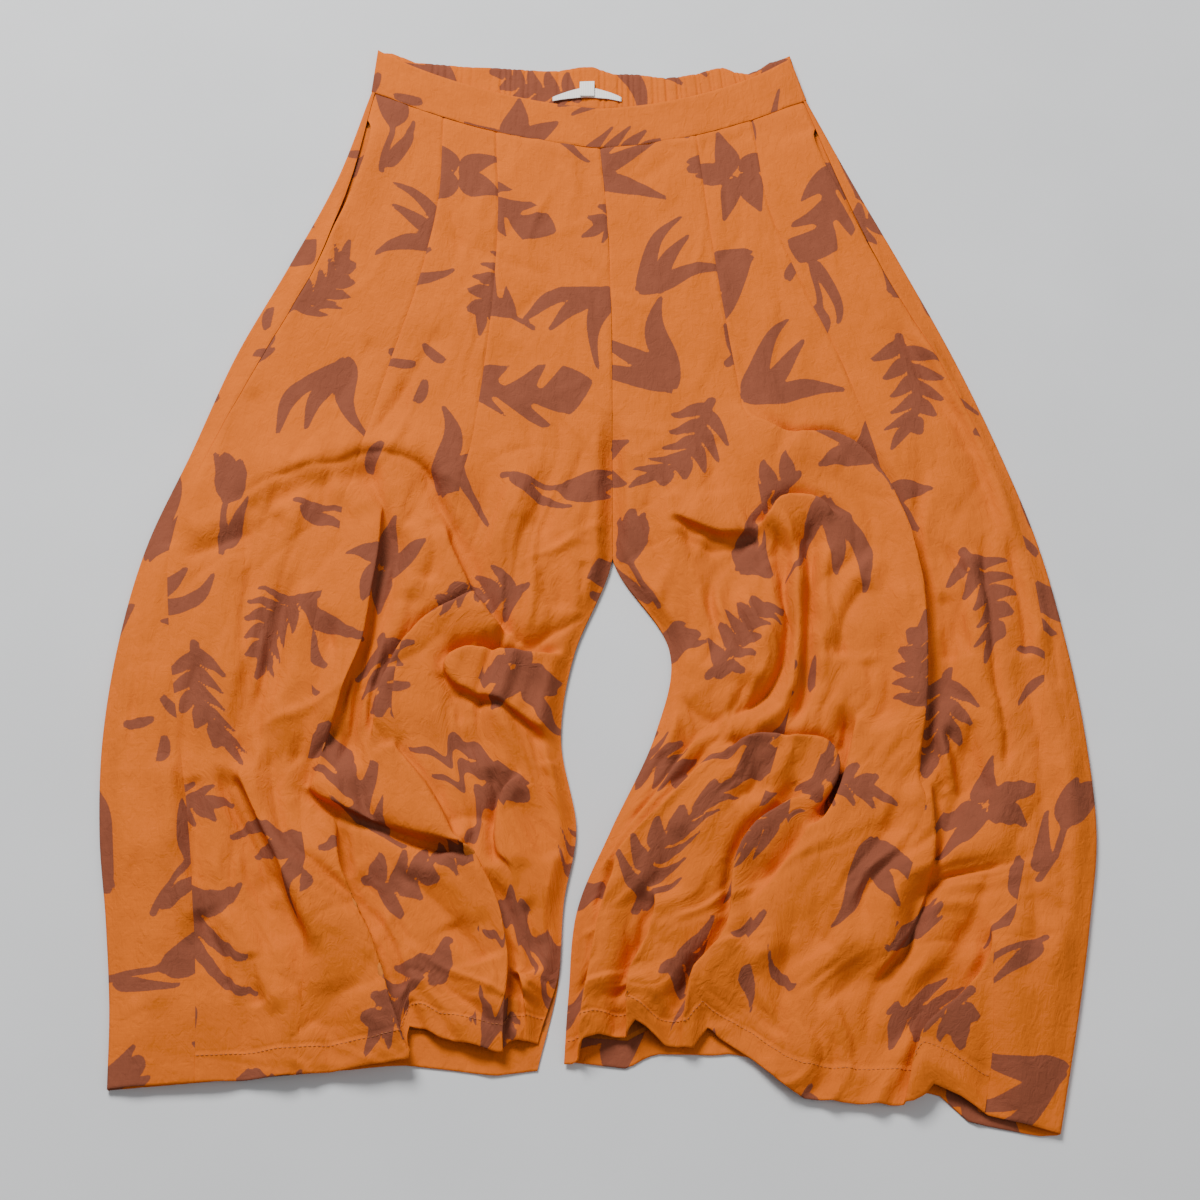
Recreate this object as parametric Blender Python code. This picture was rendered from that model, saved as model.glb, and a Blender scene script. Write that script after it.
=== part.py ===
"""Gored wide leg trousers, laid flat with the front side up.

Every cut piece is a closed cloth wall of its own. Each leg is worked out from a table of sections
that runs from the waist seam to the hem. The front lies on the back, and a table of folds raises
or sinks it. Metres, +Z up, +Y towards the waist, wearer's right leg at -X.
"""
import math
from collections import namedtuple

import bpy
import numpy as np

# ---- driving dimensions -------------------------------------------------------------------------
WALL = 0.0012             # thickness of the cloth
SEAM_GAP = 0.0003         # space between neighbouring pieces
FRONT_TOP = 0.0044        # height of the front's face where the two layers lie together
EDGE_TOP = WALL * 2 + SEAM_GAP   # height of the front's face where it is sewn to the back
HEM_DEPTH = 0.030         # depth of the turned-up hem
HEM_EXTRA = 0.0005        # what the turned-up hem adds to the wall
LEG_LENGTH = 0.925        # waist seam to hem along the side
EDGE_ROLL = 0.024         # width over which the front rises from a folded edge
INNER_ROLL = 0.015        # width over which it rises from the inner leg seam
LIE_SOFTNESS = 0.0022     # how softly the front comes down on the back
HEM_LINE = 1 - HEM_DEPTH / LEG_LENGTH   # the hem's upper edge, as a share of the leg
HEM_STEP = 0.002          # share of the leg over which the wall thickens at the hem's edge
HEM_REACH = 0.15          # share of the leg, up from the hem, that its folds draw up
PARTING = 0.05            # share of the leg over which the legs part below the crotch
FOLD_FADE = 0.22          # share of a fold's length over which it fades out at each end

BAND_WALL = 0.0020        # front band: two layers and a stiffener
BAND_DEPTH = 0.0435       # front band, waist seam to top edge
BAND_FOOT = 0.0032        # underside of the front band at the waist seam
BAND_LIFT = 0.0013        # how much higher the front band's top edge is
BACK_BAND_WALL = 0.0016
BACK_BAND_DEPTH = 0.039
HORN = 0.004              # how far the front band's corners stand past its middle
BACK_HORN = 0.0095        # the same for the back band
LEAN_LEFT = -0.013        # sideways lean of the bands at their left and right ends
LEAN_RIGHT = 0.004
SIDE_CLOSE = 0.08         # share of half the waist over which the bands close at the sides
GATHERS = 36              # gathers in the elasticated back band
GATHER_RISE = 0.0009

FACING_REACH = 0.085      # how far the pocket facing goes in under the front
FACING_TUCK = 0.004       # how far it lies under the back panel's edge
FACING_FOOT = WALL + SEAM_GAP
GAPE = 0.006              # how far the pocket's mouth stands up
GAPE_SPREAD = 0.04        # how far in from the mouth it comes down again
MOUTH_SPREAD = 0.005      # how far the mouth's edge is drawn in
POCKET_START = 0.03       # the mouth, as shares of the way from waist to hem
POCKET_END = 0.235

LABEL_SIZE = (0.061, 0.0115)   # width, and height at the middle
LABEL_DROP = (0.0115, 0.0045)  # how far its upper and lower edges drop towards the ends
LABEL_WALL = 0.0010
LABEL_TOP = 0.5245        # the label's upper edge, along Y before centring
LABEL_X = -0.0115
TAB_SIZE = (0.0130, 0.0170)
TAB_TOP = 0.5302          # the tab's upper edge; the tab lies on the label

ROWS = 44                 # cells from waist to hem
FLOOR_CELLS = 3           # cells across each part of a leg
TURN_CELLS = 4
WRAP_CELLS = 3
GORE_CELLS = {"side": 7, "middle": 8, "inner": 10}
BAND_CELLS = 36
GATHER_CELLS = 4

ORANGE = (0.590, 0.174, 0.036, 1.0)
WHITE = (0.80, 0.79, 0.76, 1.0)

# ---- sections from the waist seam (first row) to the hem (last row) -------------------------------
# outer, inner: the leg's two edges; back_y: the back's inner edge; bow: dip of the section's middle;
# side, seam_1, seam_2: the seams, as shares of the way from outer to inner edge;
# loft: height of air under the front.
Section = namedtuple("Section", "outer_x outer_y inner_x inner_y back_y bow side seam_1 seam_2 loft")

RIGHT_LEG = [
    Section(-.203, .519, .000, .454, .500, .011, .015, .32, .55, .0015),
    Section(-.229, .420, .006, .375, .395, .004, .050, .38, .60, .0030),
    Section(-.266, .325, .009, .290, .298, .000, .085, .41, .64, .0045),
    Section(-.304, .234, .010, .205, .207, .000, .075, .41, .66, .0060),
    Section(-.334, .138, .010, .120, .120, .000, .045, .40, .66, .0085),
    Section(-.363, .049, .007, .035, .035, .000, .055, .40, .65, .0100),
    Section(-.378, -.038, -.020, -.050, -.050, .000, .115, .42, .65, .0105),
    Section(-.383, -.125, -.030, -.125, -.125, .000, .170, .44, .66, .0110),
    Section(-.378, -.205, -.018, -.200, -.200, .000, .190, .43, .74, .0110),
    Section(-.367, -.275, -.027, -.262, -.262, .000, .195, .43, .79, .0095),
    Section(-.358, -.345, -.031, -.330, -.330, .000, .195, .43, .81, .0075),
    Section(-.354, -.407, -.045, -.397, -.397, .000, .205, .44, .82, .0030),
]
LEFT_LEG = [
    Section(.183, .509, .000, .454, .500, .011, .015, .27, .54, .0015),
    Section(.222, .411, .006, .375, .395, .004, .055, .36, .60, .0030),
    Section(.258, .325, .009, .290, .298, .000, .075, .36, .63, .0045),
    Section(.295, .232, .010, .205, .207, .000, .055, .33, .64, .0060),
    Section(.326, .140, .012, .120, .120, .000, .035, .32, .64, .0085),
    Section(.351, .050, .014, .035, .035, .000, .035, .33, .64, .0100),
    Section(.366, -.040, .054, -.045, -.045, .000, .060, .37, .69, .0110),
    Section(.374, -.125, .043, -.120, -.120, .000, .110, .39, .70, .0115),
    Section(.375, -.205, .008, -.203, -.203, .000, .140, .38, .71, .0115),
    Section(.364, -.275, -.017, -.268, -.268, .000, .150, .39, .72, .0100),
    Section(.350, -.345, -.023, -.335, -.335, .000, .150, .42, .75, .0080),
    Section(.328, -.440, -.026, -.390, -.390, .000, .150, .45, .78, .0030),
]
CROTCH = 3.3 / 11         # where the legs part, as a share of the way from waist to hem

# ---- largest folds --------------------------------------------------------------------------------
# Each runs along a smooth line through its points. left and right: how far it reaches to either
# side of that line, seen from above; height: above (ridge) or below (trough) the lofted front.
Fold = namedtuple("Fold", "points left right height")

RIGHT_FOLDS = [
    Fold([(-.133, .252), (-.165, .190), (-.194, .136)], .016, .018, -.0050),
    Fold([(-.299, .091), (-.213, .126), (-.155, .130), (-.121, .080)], .030, .016, .0070),
    Fold([(-.134, .112), (-.110, .065), (-.090, .000)], .014, .018, -.0065),
    Fold([(-.180, .092), (-.173, .025), (-.192, -.065), (-.222, -.165)], .018, .022, -.0080),
    Fold([(-.090, .004), (-.148, -.032), (-.170, -.100), (-.104, -.213)], .045, .015, .0090),
    Fold([(-.203, -.095), (-.210, -.157), (-.160, -.214), (-.070, -.300)], .024, .016, .0080),
    Fold([(-.206, -.175), (-.182, -.255), (-.154, -.345), (-.140, -.440)], .018, .016, -.0080),
    Fold([(-.118, -.052), (-.077, -.054), (-.030, -.050)], .015, .014, -.0075),
    Fold([(-.118, -.063), (-.080, -.098), (-.026, -.140)], .035, .014, .0085),
    Fold([(-.145, -.270), (-.116, -.350), (-.100, -.450)], .034, .018, .0090),
    Fold([(-.060, -.320), (-.058, -.380), (-.060, -.440)], .016, .016, .0060),
    Fold([(-.078, -.165), (-.072, -.215), (-.030, -.262)], .014, .014, -.0050),
    Fold([(-.293, -.150), (-.252, -.215), (-.196, -.312)], .018, .018, -.0040),
    Fold([(-.340, .032), (-.290, .050), (-.250, .074)], .022, .022, -.0040),
    Fold([(-.241, -.010), (-.260, -.085), (-.272, -.160)], .018, .018, -.0035),
]
LEFT_FOLDS = [
    Fold([(.244, .270), (.288, .170), (.310, .100), (.319, .020)], .016, .016, -.0050),
    Fold([(.268, .270), (.308, .180), (.330, .110), (.343, .010)], .016, .016, .0050),
    Fold([(.120, .182), (.190, .152), (.232, .090), (.252, .005)], .022, .018, .0070),
    Fold([(.078, .043), (.124, .058), (.180, .084)], .018, .030, .0070),
    Fold([(.142, .030), (.146, -.040), (.125, -.095), (.074, -.140)], .014, .016, -.0070),
    Fold([(.167, .012), (.160, -.060), (.128, -.130)], .013, .013, -.0055),
    Fold([(.254, .008), (.255, -.083), (.230, -.192)], .016, .016, -.0060),
    Fold([(.092, -.130), (.140, -.132), (.194, -.140)], .030, .014, .0080),
    Fold([(.190, -.100), (.188, -.145), (.130, -.212)], .015, .014, -.0080),
    Fold([(.180, -.172), (.138, -.246), (.066, -.344)], .016, .016, .0070),
    Fold([(.112, -.205), (.096, -.270), (.056, -.350), (.050, -.430)], .014, .014, -.0070),
    Fold([(.054, -.176), (.012, -.237), (-.004, -.300)], .013, .013, -.0050),
    Fold([(.042, -.262), (.030, -.330), (.026, -.440)], .014, .012, .0080),
    Fold([(.106, -.262), (.086, -.330), (.074, -.450)], .016, .012, .0080),
    Fold([(.288, -.300), (.262, -.360), (.238, -.460)], .022, .014, .0090),
    Fold([(.252, -.215), (.212, -.296), (.160, -.352)], .016, .016, -.0060),
    Fold([(.280, -.130), (.262, -.205), (.245, -.230)], .016, .016, -.0045),
    Fold([(.268, -.275), (.262, -.335), (.196, -.398)], .015, .015, -.0050),
]
# The wavy upper edge of the gathered back band: (x, rise).
BACK_EDGE = [(-.198, 0), (-.187, .004), (-.165, -.002), (-.110, 0), (-.050, .001), (-.026, .006),
             (-.006, .010), (.012, .001), (.034, 0), (.058, -.005), (.086, -.002), (.110, .004),
             (.132, -.005), (.152, .005), (.166, .005)]

# How far the folds draw each place of a hem up the leg: (x, rise).
RIGHT_HEM = [(-.360, 0), (-.250, .003), (-.165, .008), (-.150, .010), (-.142, .036), (-.128, .038),
             (-.117, .030), (-.098, .024), (-.074, .018), (-.066, .026), (-.052, .026), (-.040, .024)]
RIGHT_BACK_HEM = [(-.360, 0), (-.250, .006), (-.139, .012), (-.105, .007), (-.076, .002), (-.047, .005)]
LEFT_HEM = [(-.030, .002), (-.012, .008), (-.006, .020), (.004, .026), (.024, .030), (.033, .040),
            (.040, .036), (.050, .026), (.070, .026), (.080, .043), (.096, .032), (.110, .024),
            (.133, .006), (.146, 0), (.183, .001), (.230, .006), (.243, .022), (.259, .017),
            (.277, .006), (.326, 0)]
LEFT_BACK_HEM = [(-.030, .005), (.020, .006), (.040, .020), (.083, .025), (.150, .024), (.243, .018),
                 (.264, 0), (.312, -.003), (.328, 0)]

Leg = namedtuple("Leg", "word side sections folds hem back_hem")
LEGS = (
    Leg("right", -1, RIGHT_LEG, RIGHT_FOLDS, RIGHT_HEM, RIGHT_BACK_HEM),
    Leg("left", 1, LEFT_LEG, LEFT_FOLDS, LEFT_HEM, LEFT_BACK_HEM),
)


def smooth(x):
    """0 below 0, 1 above 1, and an even S between them."""
    x = np.clip(x, 0.0, 1.0)
    return x * x * (3.0 - 2.0 * x)


def through(values, t):
    """Catmull-Rom curve through evenly spaced values, read at shares t of its length."""
    values = np.asarray(values, dtype=float)
    before = 2 * values[:1] - values[1:2]
    after = 2 * values[-1:] - values[-2:-1]
    knots = np.concatenate([before, values, after])
    place = np.clip(t, 0.0, 1.0) * (len(values) - 1)
    i = np.minimum(place.astype(int), len(values) - 2)
    w = place - i
    a, b, c, d = knots[i], knots[i + 1], knots[i + 2], knots[i + 3]
    return b + 0.5 * w * (c - a + w * (2 * a - 5 * b + 4 * c - d + w * (3 * b - a - 3 * c + d)))


def fold_height(fold, x, y):
    """Height of one fold at points x, y: a bell across its line, faded out at both ends."""
    share = np.linspace(0.0, 1.0, 25)
    line_x = through([p[0] for p in fold.points], share)
    line_y = through([p[1] for p in fold.points], share)
    nearest = np.full(x.shape, np.inf)
    signed = np.zeros(x.shape)
    where = np.zeros(x.shape)
    for i in range(len(share) - 1):
        run_x = line_x[i + 1] - line_x[i]
        run_y = line_y[i + 1] - line_y[i]
        run_2 = run_x ** 2 + run_y ** 2
        along = np.clip(((x - line_x[i]) * run_x + (y - line_y[i]) * run_y) / run_2, 0.0, 1.0)
        off_x = x - line_x[i] - along * run_x
        off_y = y - line_y[i] - along * run_y
        distance = np.hypot(off_x, off_y)
        closer = distance < nearest
        nearest = np.where(closer, distance, nearest)
        signed = np.where(closer, run_x * off_y - run_y * off_x, signed)
        where = np.where(closer, share[i] + along * share[1], where)
    reach = np.where(signed > 0.0, fold.left, fold.right)
    fade = smooth(where / FOLD_FADE) * smooth((1.0 - where) / FOLD_FADE)
    return fold.height * fade * np.exp(-(nearest / reach) ** 2)


def leg_plan(sections, f, t, layer):
    """Plan position at share f from the outer to the inner edge and share t from waist to hem."""
    column = {name: through([getattr(s, name) for s in sections], t) for name in Section._fields}
    inner_y = column["inner_y"] if layer == "front" else column["back_y"]
    bow = column["bow"] if layer == "front" else 0.0
    x = column["outer_x"] * (1 - f) + column["inner_x"] * f
    y = column["outer_y"] * (1 - f) + inner_y * f - bow * 4 * f * (1 - f)
    return x, y


def leg_width(sections, t):
    """Width of the leg at share t from waist to hem."""
    outer = through([s.outer_x for s in sections], t)
    inner = through([s.inner_x for s in sections], t)
    return np.abs(inner - outer)


def seam_share(sections, name, t):
    """The named seam's place, as a share of the way from the outer to the inner edge."""
    return through([getattr(s, name) for s in sections], t)


def wall_at(t):
    """Thickness of the wall, more in the turned-up hem."""
    return (WALL + HEM_EXTRA * smooth((t - HEM_LINE) / HEM_STEP))[..., None]


def hem_rise(table, x, t):
    """How far the hem's folds draw the cloth up at x: the table's value, fading up the leg."""
    rise = np.interp(x, [p[0] for p in table], [p[1] for p in table])
    return rise * smooth((t - 1 + HEM_REACH) / HEM_REACH)


def front_face(leg, f, t):
    """Outer face of the front: plan position, and the height that loft and folds give it."""
    x, y = leg_plan(leg.sections, f, t, "front")
    width = leg_width(leg.sections, t)
    parted = smooth((t - CROTCH) / PARTING)
    from_outer = smooth(f * width / EDGE_ROLL)
    from_inner = smooth((1 - f) * width / INNER_ROLL)
    edge = from_outer * (1 - parted * (1 - from_inner))
    raised = through([s.loft for s in leg.sections], t)
    for fold in leg.folds:
        raised = raised + fold_height(fold, x, y)
    raised = 0.5 * (raised + np.sqrt(raised ** 2 + LIE_SOFTNESS ** 2))
    sewn_top = EDGE_TOP + 2 * (wall_at(t)[..., 0] - WALL)
    base = FRONT_TOP - (FRONT_TOP - sewn_top) * parted * (1 - from_inner)
    z = base + raised * edge
    return np.stack([x, y + hem_rise(leg.hem, x, t), z], axis=-1)


def normals_of(face_at, f, t, side):
    """Unit normals of the surface face_at(f, t), from small steps across and down it."""
    step = 0.001
    across = face_at(f + step, t) - face_at(f - step, t)
    down = face_at(f, t + step) - face_at(f, t - step)
    normal = side * np.cross(across, down)
    return normal / np.linalg.norm(normal, axis=-1, keepdims=True)


def add_solid(name, outer, inner, material):
    """One closed wall between two grids of points, with its rim; outer faces away from inner."""
    rows, columns = outer.shape[:2]
    vertices = np.concatenate([outer.reshape(-1, 3), inner.reshape(-1, 3)])
    index = np.arange(rows * columns).reshape(rows, columns)
    under = index + rows * columns
    a, b, c, d = index[:-1, :-1], index[:-1, 1:], index[1:, 1:], index[1:, :-1]
    faces = np.stack([a, b, c, d], -1).reshape(-1, 4).tolist()
    a, b, c, d = under[:-1, :-1], under[:-1, 1:], under[1:, 1:], under[1:, :-1]
    faces += np.stack([d, c, b, a], -1).reshape(-1, 4).tolist()
    rim = np.concatenate([index[0, :], index[1:, -1], index[-1, -2::-1], index[-2:0:-1, 0]])
    after = np.roll(rim, -1)
    rim_in, after_in = rim + rows * columns, after + rows * columns
    # the rim's diagonals run the same way on both sides of a seam, so that the rims never cross
    forward = (rim < after)[:, None]
    first = np.stack([after, rim, np.where(forward[:, 0], after_in, rim_in)], -1)
    second = np.where(forward, np.stack([rim, rim_in, after_in], -1),
                      np.stack([after, rim_in, after_in], -1))
    faces += first.tolist() + second.tolist()
    mesh = bpy.data.meshes.new(name)
    mesh.from_pydata(vertices.tolist(), [], faces)
    mesh.update()
    mesh.shade_smooth()
    mesh.set_sharp_from_angle(angle=math.radians(50))
    mesh.materials.append(material)
    solid = bpy.data.objects.new(name, mesh)
    bpy.context.scene.collection.objects.link(solid)
    return solid


def facing_out(outer, inner, side):
    """The left leg's columns already turn its faces out; the right leg's are reversed."""
    if side > 0:
        return outer, inner
    return outer[:, ::-1], inner[:, ::-1]


def row_shares():
    """Shares of the rows from waist to hem, with one on either side of the hem's upper edge."""
    body = np.linspace(0.0, HEM_LINE, ROWS - 1)
    return np.concatenate([body, [HEM_LINE + HEM_STEP, 1.0]])[:, None]


def pocket_open(t):
    """1 along the middle of the pocket's mouth and 0 past its two ends."""
    share = (t - POCKET_START) / (POCKET_END - POCKET_START)
    return np.sin(math.pi * np.clip(share, 0.0, 1.0))


def front_gore(name, leg, first, last, cells, material):
    """One front gore between two seams of a leg, a wall below the front's face."""
    sections = leg.sections
    t = row_shares()
    width = leg_width(sections, t)
    start = seam_share(sections, first, t) + 0.5 * SEAM_GAP / width
    if first == "side":
        start = start + MOUTH_SPREAD * pocket_open(t) / width
    end = 1.0 if last == "edge" else seam_share(sections, last, t)
    end = end - 0.5 * SEAM_GAP / width
    f = start + (end - start) * np.linspace(0.0, 1.0, cells + 1)[None, :]
    t = np.broadcast_to(t, f.shape)

    def face_at(f, t):
        face = front_face(leg, f, t)
        if first == "side":
            off_mouth = (f - start) * width / GAPE_SPREAD
            face[..., 2] += GAPE * pocket_open(t) * (1 - smooth(off_mouth))
        return face

    face = face_at(f, t)
    outer, inner = facing_out(face, face - normals_of(face_at, f, t, leg.side) * wall_at(t), leg.side)
    return add_solid(name, outer, inner, material)


def back_panel(name, leg, material):
    """Back of one leg: flat on the floor, round the outer edge and over it to the side seam."""
    sections = leg.sections
    t = row_shares()
    width = leg_width(sections, t)
    radius = FRONT_TOP / 2
    near_edge = radius / width

    floor_f = 1 - 0.5 * SEAM_GAP / width
    floor_f = floor_f + (near_edge - floor_f) * np.linspace(0.0, 1.0, FLOOR_CELLS + 1)[None, :]
    floor_x, floor_y = leg_plan(sections, floor_f, np.broadcast_to(t, floor_f.shape), "back")
    floor_y = floor_y + hem_rise(leg.back_hem, floor_x, t)
    floor = np.stack([floor_x, floor_y, np.zeros(floor_f.shape)], -1)
    floor_normal = np.broadcast_to((0.0, 0.0, -1.0), floor.shape)

    angle = np.linspace(0.0, math.pi, TURN_CELLS + 1)[None, 1:-1]
    turn_f = near_edge * (1 - np.sin(angle))
    turn_t = np.broadcast_to(t, turn_f.shape)
    turn_x, turn_y = leg_plan(sections, turn_f, turn_t, "front")
    turn_z = np.broadcast_to(radius * (1 - np.cos(angle)), turn_f.shape)
    turn = np.stack([turn_x, turn_y, turn_z], -1)
    in_x, in_y = leg_plan(sections, np.full(t.shape, 0.05), t, "front")
    out_x, out_y = leg_plan(sections, np.zeros(t.shape), t, "front")
    run = np.hypot(out_x - in_x, out_y - in_y)
    outward = np.sin(angle) / run
    upward = np.broadcast_to(-np.cos(angle), turn_f.shape)
    turn_normal = np.stack([outward * (out_x - in_x), outward * (out_y - in_y), upward], -1)

    def face_at(f, t):
        return front_face(leg, f, t)

    wrap_end = seam_share(sections, "side", t) - 0.5 * SEAM_GAP / width
    wrap_f = near_edge + (wrap_end - near_edge) * np.linspace(0.0, 1.0, WRAP_CELLS + 1)[None, :]
    wrap_t = np.broadcast_to(t, wrap_f.shape)
    wrap = face_at(wrap_f, wrap_t)
    wrap_normal = normals_of(face_at, wrap_f, wrap_t, leg.side)

    face = np.concatenate([floor, turn, wrap], axis=1)
    normal = np.concatenate([floor_normal, turn_normal, wrap_normal], axis=1)
    thick = wall_at(np.broadcast_to(t, face.shape[:2]))
    outer, inner = facing_out(face, face - normal * thick, leg.side)
    return add_solid(name, outer, inner, material)


def pocket_facing(name, leg, material):
    """Flat facing between back and front, from under the side seam to a rounded inner edge."""
    sections = leg.sections
    t = np.linspace(POCKET_START + 0.004, POCKET_END + 0.030, 13)[:, None]
    width = leg_width(sections, t)
    start = seam_share(sections, "side", t) - FACING_TUCK / width
    down = (t - t[0]) / (t[-1] - t[0])
    reach = FACING_REACH * np.sqrt(np.clip(1 - down ** 4, 0.02, 1.0))
    f = start + (reach / width) * np.linspace(0.0, 1.0, 6)[None, :]
    t = np.broadcast_to(t, f.shape)
    x, y = leg_plan(sections, f, t, "front")
    face = np.stack([x, y, np.full(f.shape, FACING_FOOT + WALL)], -1)
    outer, inner = facing_out(face, face - (0.0, 0.0, WALL), leg.side)
    return add_solid(name, outer, inner, material)


def waist_line(layer, u):
    """Plan of the waist seam for u from -1 (right side) through 0 (centre) to 1 (left side)."""
    t = np.zeros(u.shape)
    right_x, right_y = leg_plan(RIGHT_LEG, 1 - np.abs(u), t, layer)
    left_x, left_y = leg_plan(LEFT_LEG, 1 - np.abs(u), t, layer)
    return np.where(u < 0, right_x, left_x), np.where(u < 0, right_y, left_y)


def band_plan(layer, u, up, depth):
    """Plan of a band: up from the waist seam, with its corners drawn out and its ends leaning."""
    x, y = waist_line(layer, u)
    lean = np.where(u > 0, LEAN_LEFT, LEAN_RIGHT) * u ** 2
    horn = (HORN if layer == "front" else BACK_HORN) * np.abs(u) ** 10
    return x + lean * up, y + SEAM_GAP + (depth + horn) * up


def waistband_front(material):
    """Shaped front band, two layers thick, which comes down on the back band at the sides."""
    u = np.linspace(-1.0, 1.0, BAND_CELLS + 1)[None, :]
    up = np.linspace(0.0, 1.0, 5)[:, None]
    x, y = band_plan("front", u, up, BAND_DEPTH)
    near_side = 1 - smooth((1 - np.abs(u)) / SIDE_CLOSE)
    foot = BAND_FOOT + BAND_LIFT * up - (BAND_FOOT - BACK_BAND_WALL - SEAM_GAP) * near_side
    inner = np.stack(np.broadcast_arrays(x, y, foot), -1)
    return add_solid("waistband_front", inner + (0.0, 0.0, BAND_WALL), inner, material)


def waistband_back(material):
    """Elasticated back band, flat below, with gathers raised in its upper face."""
    u = np.linspace(-1.0, 1.0, GATHERS * GATHER_CELLS + 1)[None, :]
    up = np.linspace(0.0, 1.0, 4)[:, None]
    x, y = band_plan("back", u, up, BACK_BAND_DEPTH)
    edge_wave = np.interp(x, [p[0] for p in BACK_EDGE], [p[1] for p in BACK_EDGE])
    y = y + edge_wave * smooth((up - 0.3) / 0.7)
    wave = 0.5 - 0.5 * np.cos(math.pi * GATHERS * (u + 1))
    fullest_mid = np.sin(math.pi * (0.2 + 0.6 * up))
    rise = GATHER_RISE * wave * fullest_mid * smooth((1 - np.abs(u)) / SIDE_CLOSE)
    inner = np.stack(np.broadcast_arrays(x, y, 0.0 * rise), -1)
    outer = np.stack(np.broadcast_arrays(x, y, BACK_BAND_WALL + rise), -1)
    return add_solid("waistband_back", outer, inner, material)


def small_patch(name, top_y, size, drop, foot, material):
    """A small flat cloth patch; drop is how far its upper and lower edges fall towards the ends."""
    u = np.linspace(-1.0, 1.0, 9)[None, :]
    up = np.linspace(0.0, 1.0, 3)[:, None]
    x = LABEL_X + 0.5 * size[0] * u
    fall = (drop[0] * up + drop[1] * (1 - up)) * np.abs(u) ** 1.5
    y = top_y - size[1] * (1 - up) - fall
    inner = np.stack(np.broadcast_arrays(x, y, foot), -1)
    return add_solid(name, inner + (0.0, 0.0, LABEL_WALL), inner, material)


def make_material(name, colour, roughness):
    """A plain cloth material."""
    material = bpy.data.materials.new(name)
    material.use_nodes = True
    shader = material.node_tree.nodes["Principled BSDF"]
    shader.inputs["Base Color"].default_value = colour
    shader.inputs["Roughness"].default_value = roughness
    shader.inputs["Metallic"].default_value = 0.0
    material.diffuse_color = colour
    return material


def centre_on_origin(objects):
    """Move every piece so that the whole garment is centred on X and Y and stands on Z = 0."""
    points = np.concatenate([np.array([v.co for v in o.data.vertices]) for o in objects])
    low, high = points.min(axis=0), points.max(axis=0)
    shift = ((low[0] + high[0]) / 2, (low[1] + high[1]) / 2, low[2])
    for o in objects:
        for vertex in o.data.vertices:
            vertex.co.x -= shift[0]
            vertex.co.y -= shift[1]
            vertex.co.z -= shift[2]
        o.data.update()


def build():
    for old in list(bpy.data.objects):
        bpy.data.objects.remove(old, do_unlink=True)
    cloth = make_material("printed_viscose", ORANGE, 0.85)
    tape = make_material("white_label_tape", WHITE, 0.80)
    pieces = []
    seams = (("side", "side", "seam_1"), ("middle", "seam_1", "seam_2"), ("inner", "seam_2", "edge"))
    for leg in LEGS:
        for gore, first, last in seams:
            name = "front_%s_%s" % (leg.word, gore)
            pieces.append(front_gore(name, leg, first, last, GORE_CELLS[gore], cloth))
        pieces.append(back_panel("back_" + leg.word, leg, cloth))
        pieces.append(pocket_facing("pocket_facing_" + leg.word, leg, cloth))
    pieces.append(waistband_front(cloth))
    pieces.append(waistband_back(cloth))
    label_foot = BACK_BAND_WALL + GATHER_RISE + SEAM_GAP
    pieces.append(small_patch("label", LABEL_TOP, LABEL_SIZE, LABEL_DROP, label_foot, tape))
    tab_foot = label_foot + LABEL_WALL + SEAM_GAP
    pieces.append(small_patch("size_tab", TAB_TOP, TAB_SIZE, (0.0, 0.0), tab_foot, tape))
    centre_on_origin(pieces)


build()
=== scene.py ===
"""Printed wide leg trousers, laid flat with the front side up, in a plain studio.

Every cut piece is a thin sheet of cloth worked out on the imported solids' own form. On a leg, f runs
from the outer edge to the inner edge and t from the waist seam to the hem.
"""
import math
from collections import namedtuple

import bpy
import numpy as np
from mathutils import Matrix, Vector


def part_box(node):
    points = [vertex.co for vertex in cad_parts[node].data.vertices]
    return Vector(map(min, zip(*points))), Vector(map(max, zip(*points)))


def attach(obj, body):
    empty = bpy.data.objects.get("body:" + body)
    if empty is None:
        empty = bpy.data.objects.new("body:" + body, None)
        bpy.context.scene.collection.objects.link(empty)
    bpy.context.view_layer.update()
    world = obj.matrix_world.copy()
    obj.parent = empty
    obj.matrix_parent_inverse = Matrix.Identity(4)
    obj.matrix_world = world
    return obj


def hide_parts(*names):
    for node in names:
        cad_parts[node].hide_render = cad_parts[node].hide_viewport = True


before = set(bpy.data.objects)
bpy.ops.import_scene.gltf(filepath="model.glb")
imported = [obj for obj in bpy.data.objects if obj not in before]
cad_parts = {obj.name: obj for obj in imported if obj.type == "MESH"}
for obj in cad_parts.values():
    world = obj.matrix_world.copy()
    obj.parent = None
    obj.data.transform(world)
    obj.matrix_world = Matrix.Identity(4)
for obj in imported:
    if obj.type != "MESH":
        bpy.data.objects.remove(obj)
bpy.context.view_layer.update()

bl_info = {
    "name": "Printed wide leg trousers",
    "version": (1, 0, 0),
    "blender": (4, 5, 0),
    "location": "View3D > Sidebar > Trousers",
    "description": "Builds the cloth, print, stitching and studio around the packed trousers",
    "category": "Add Mesh",
}

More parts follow.
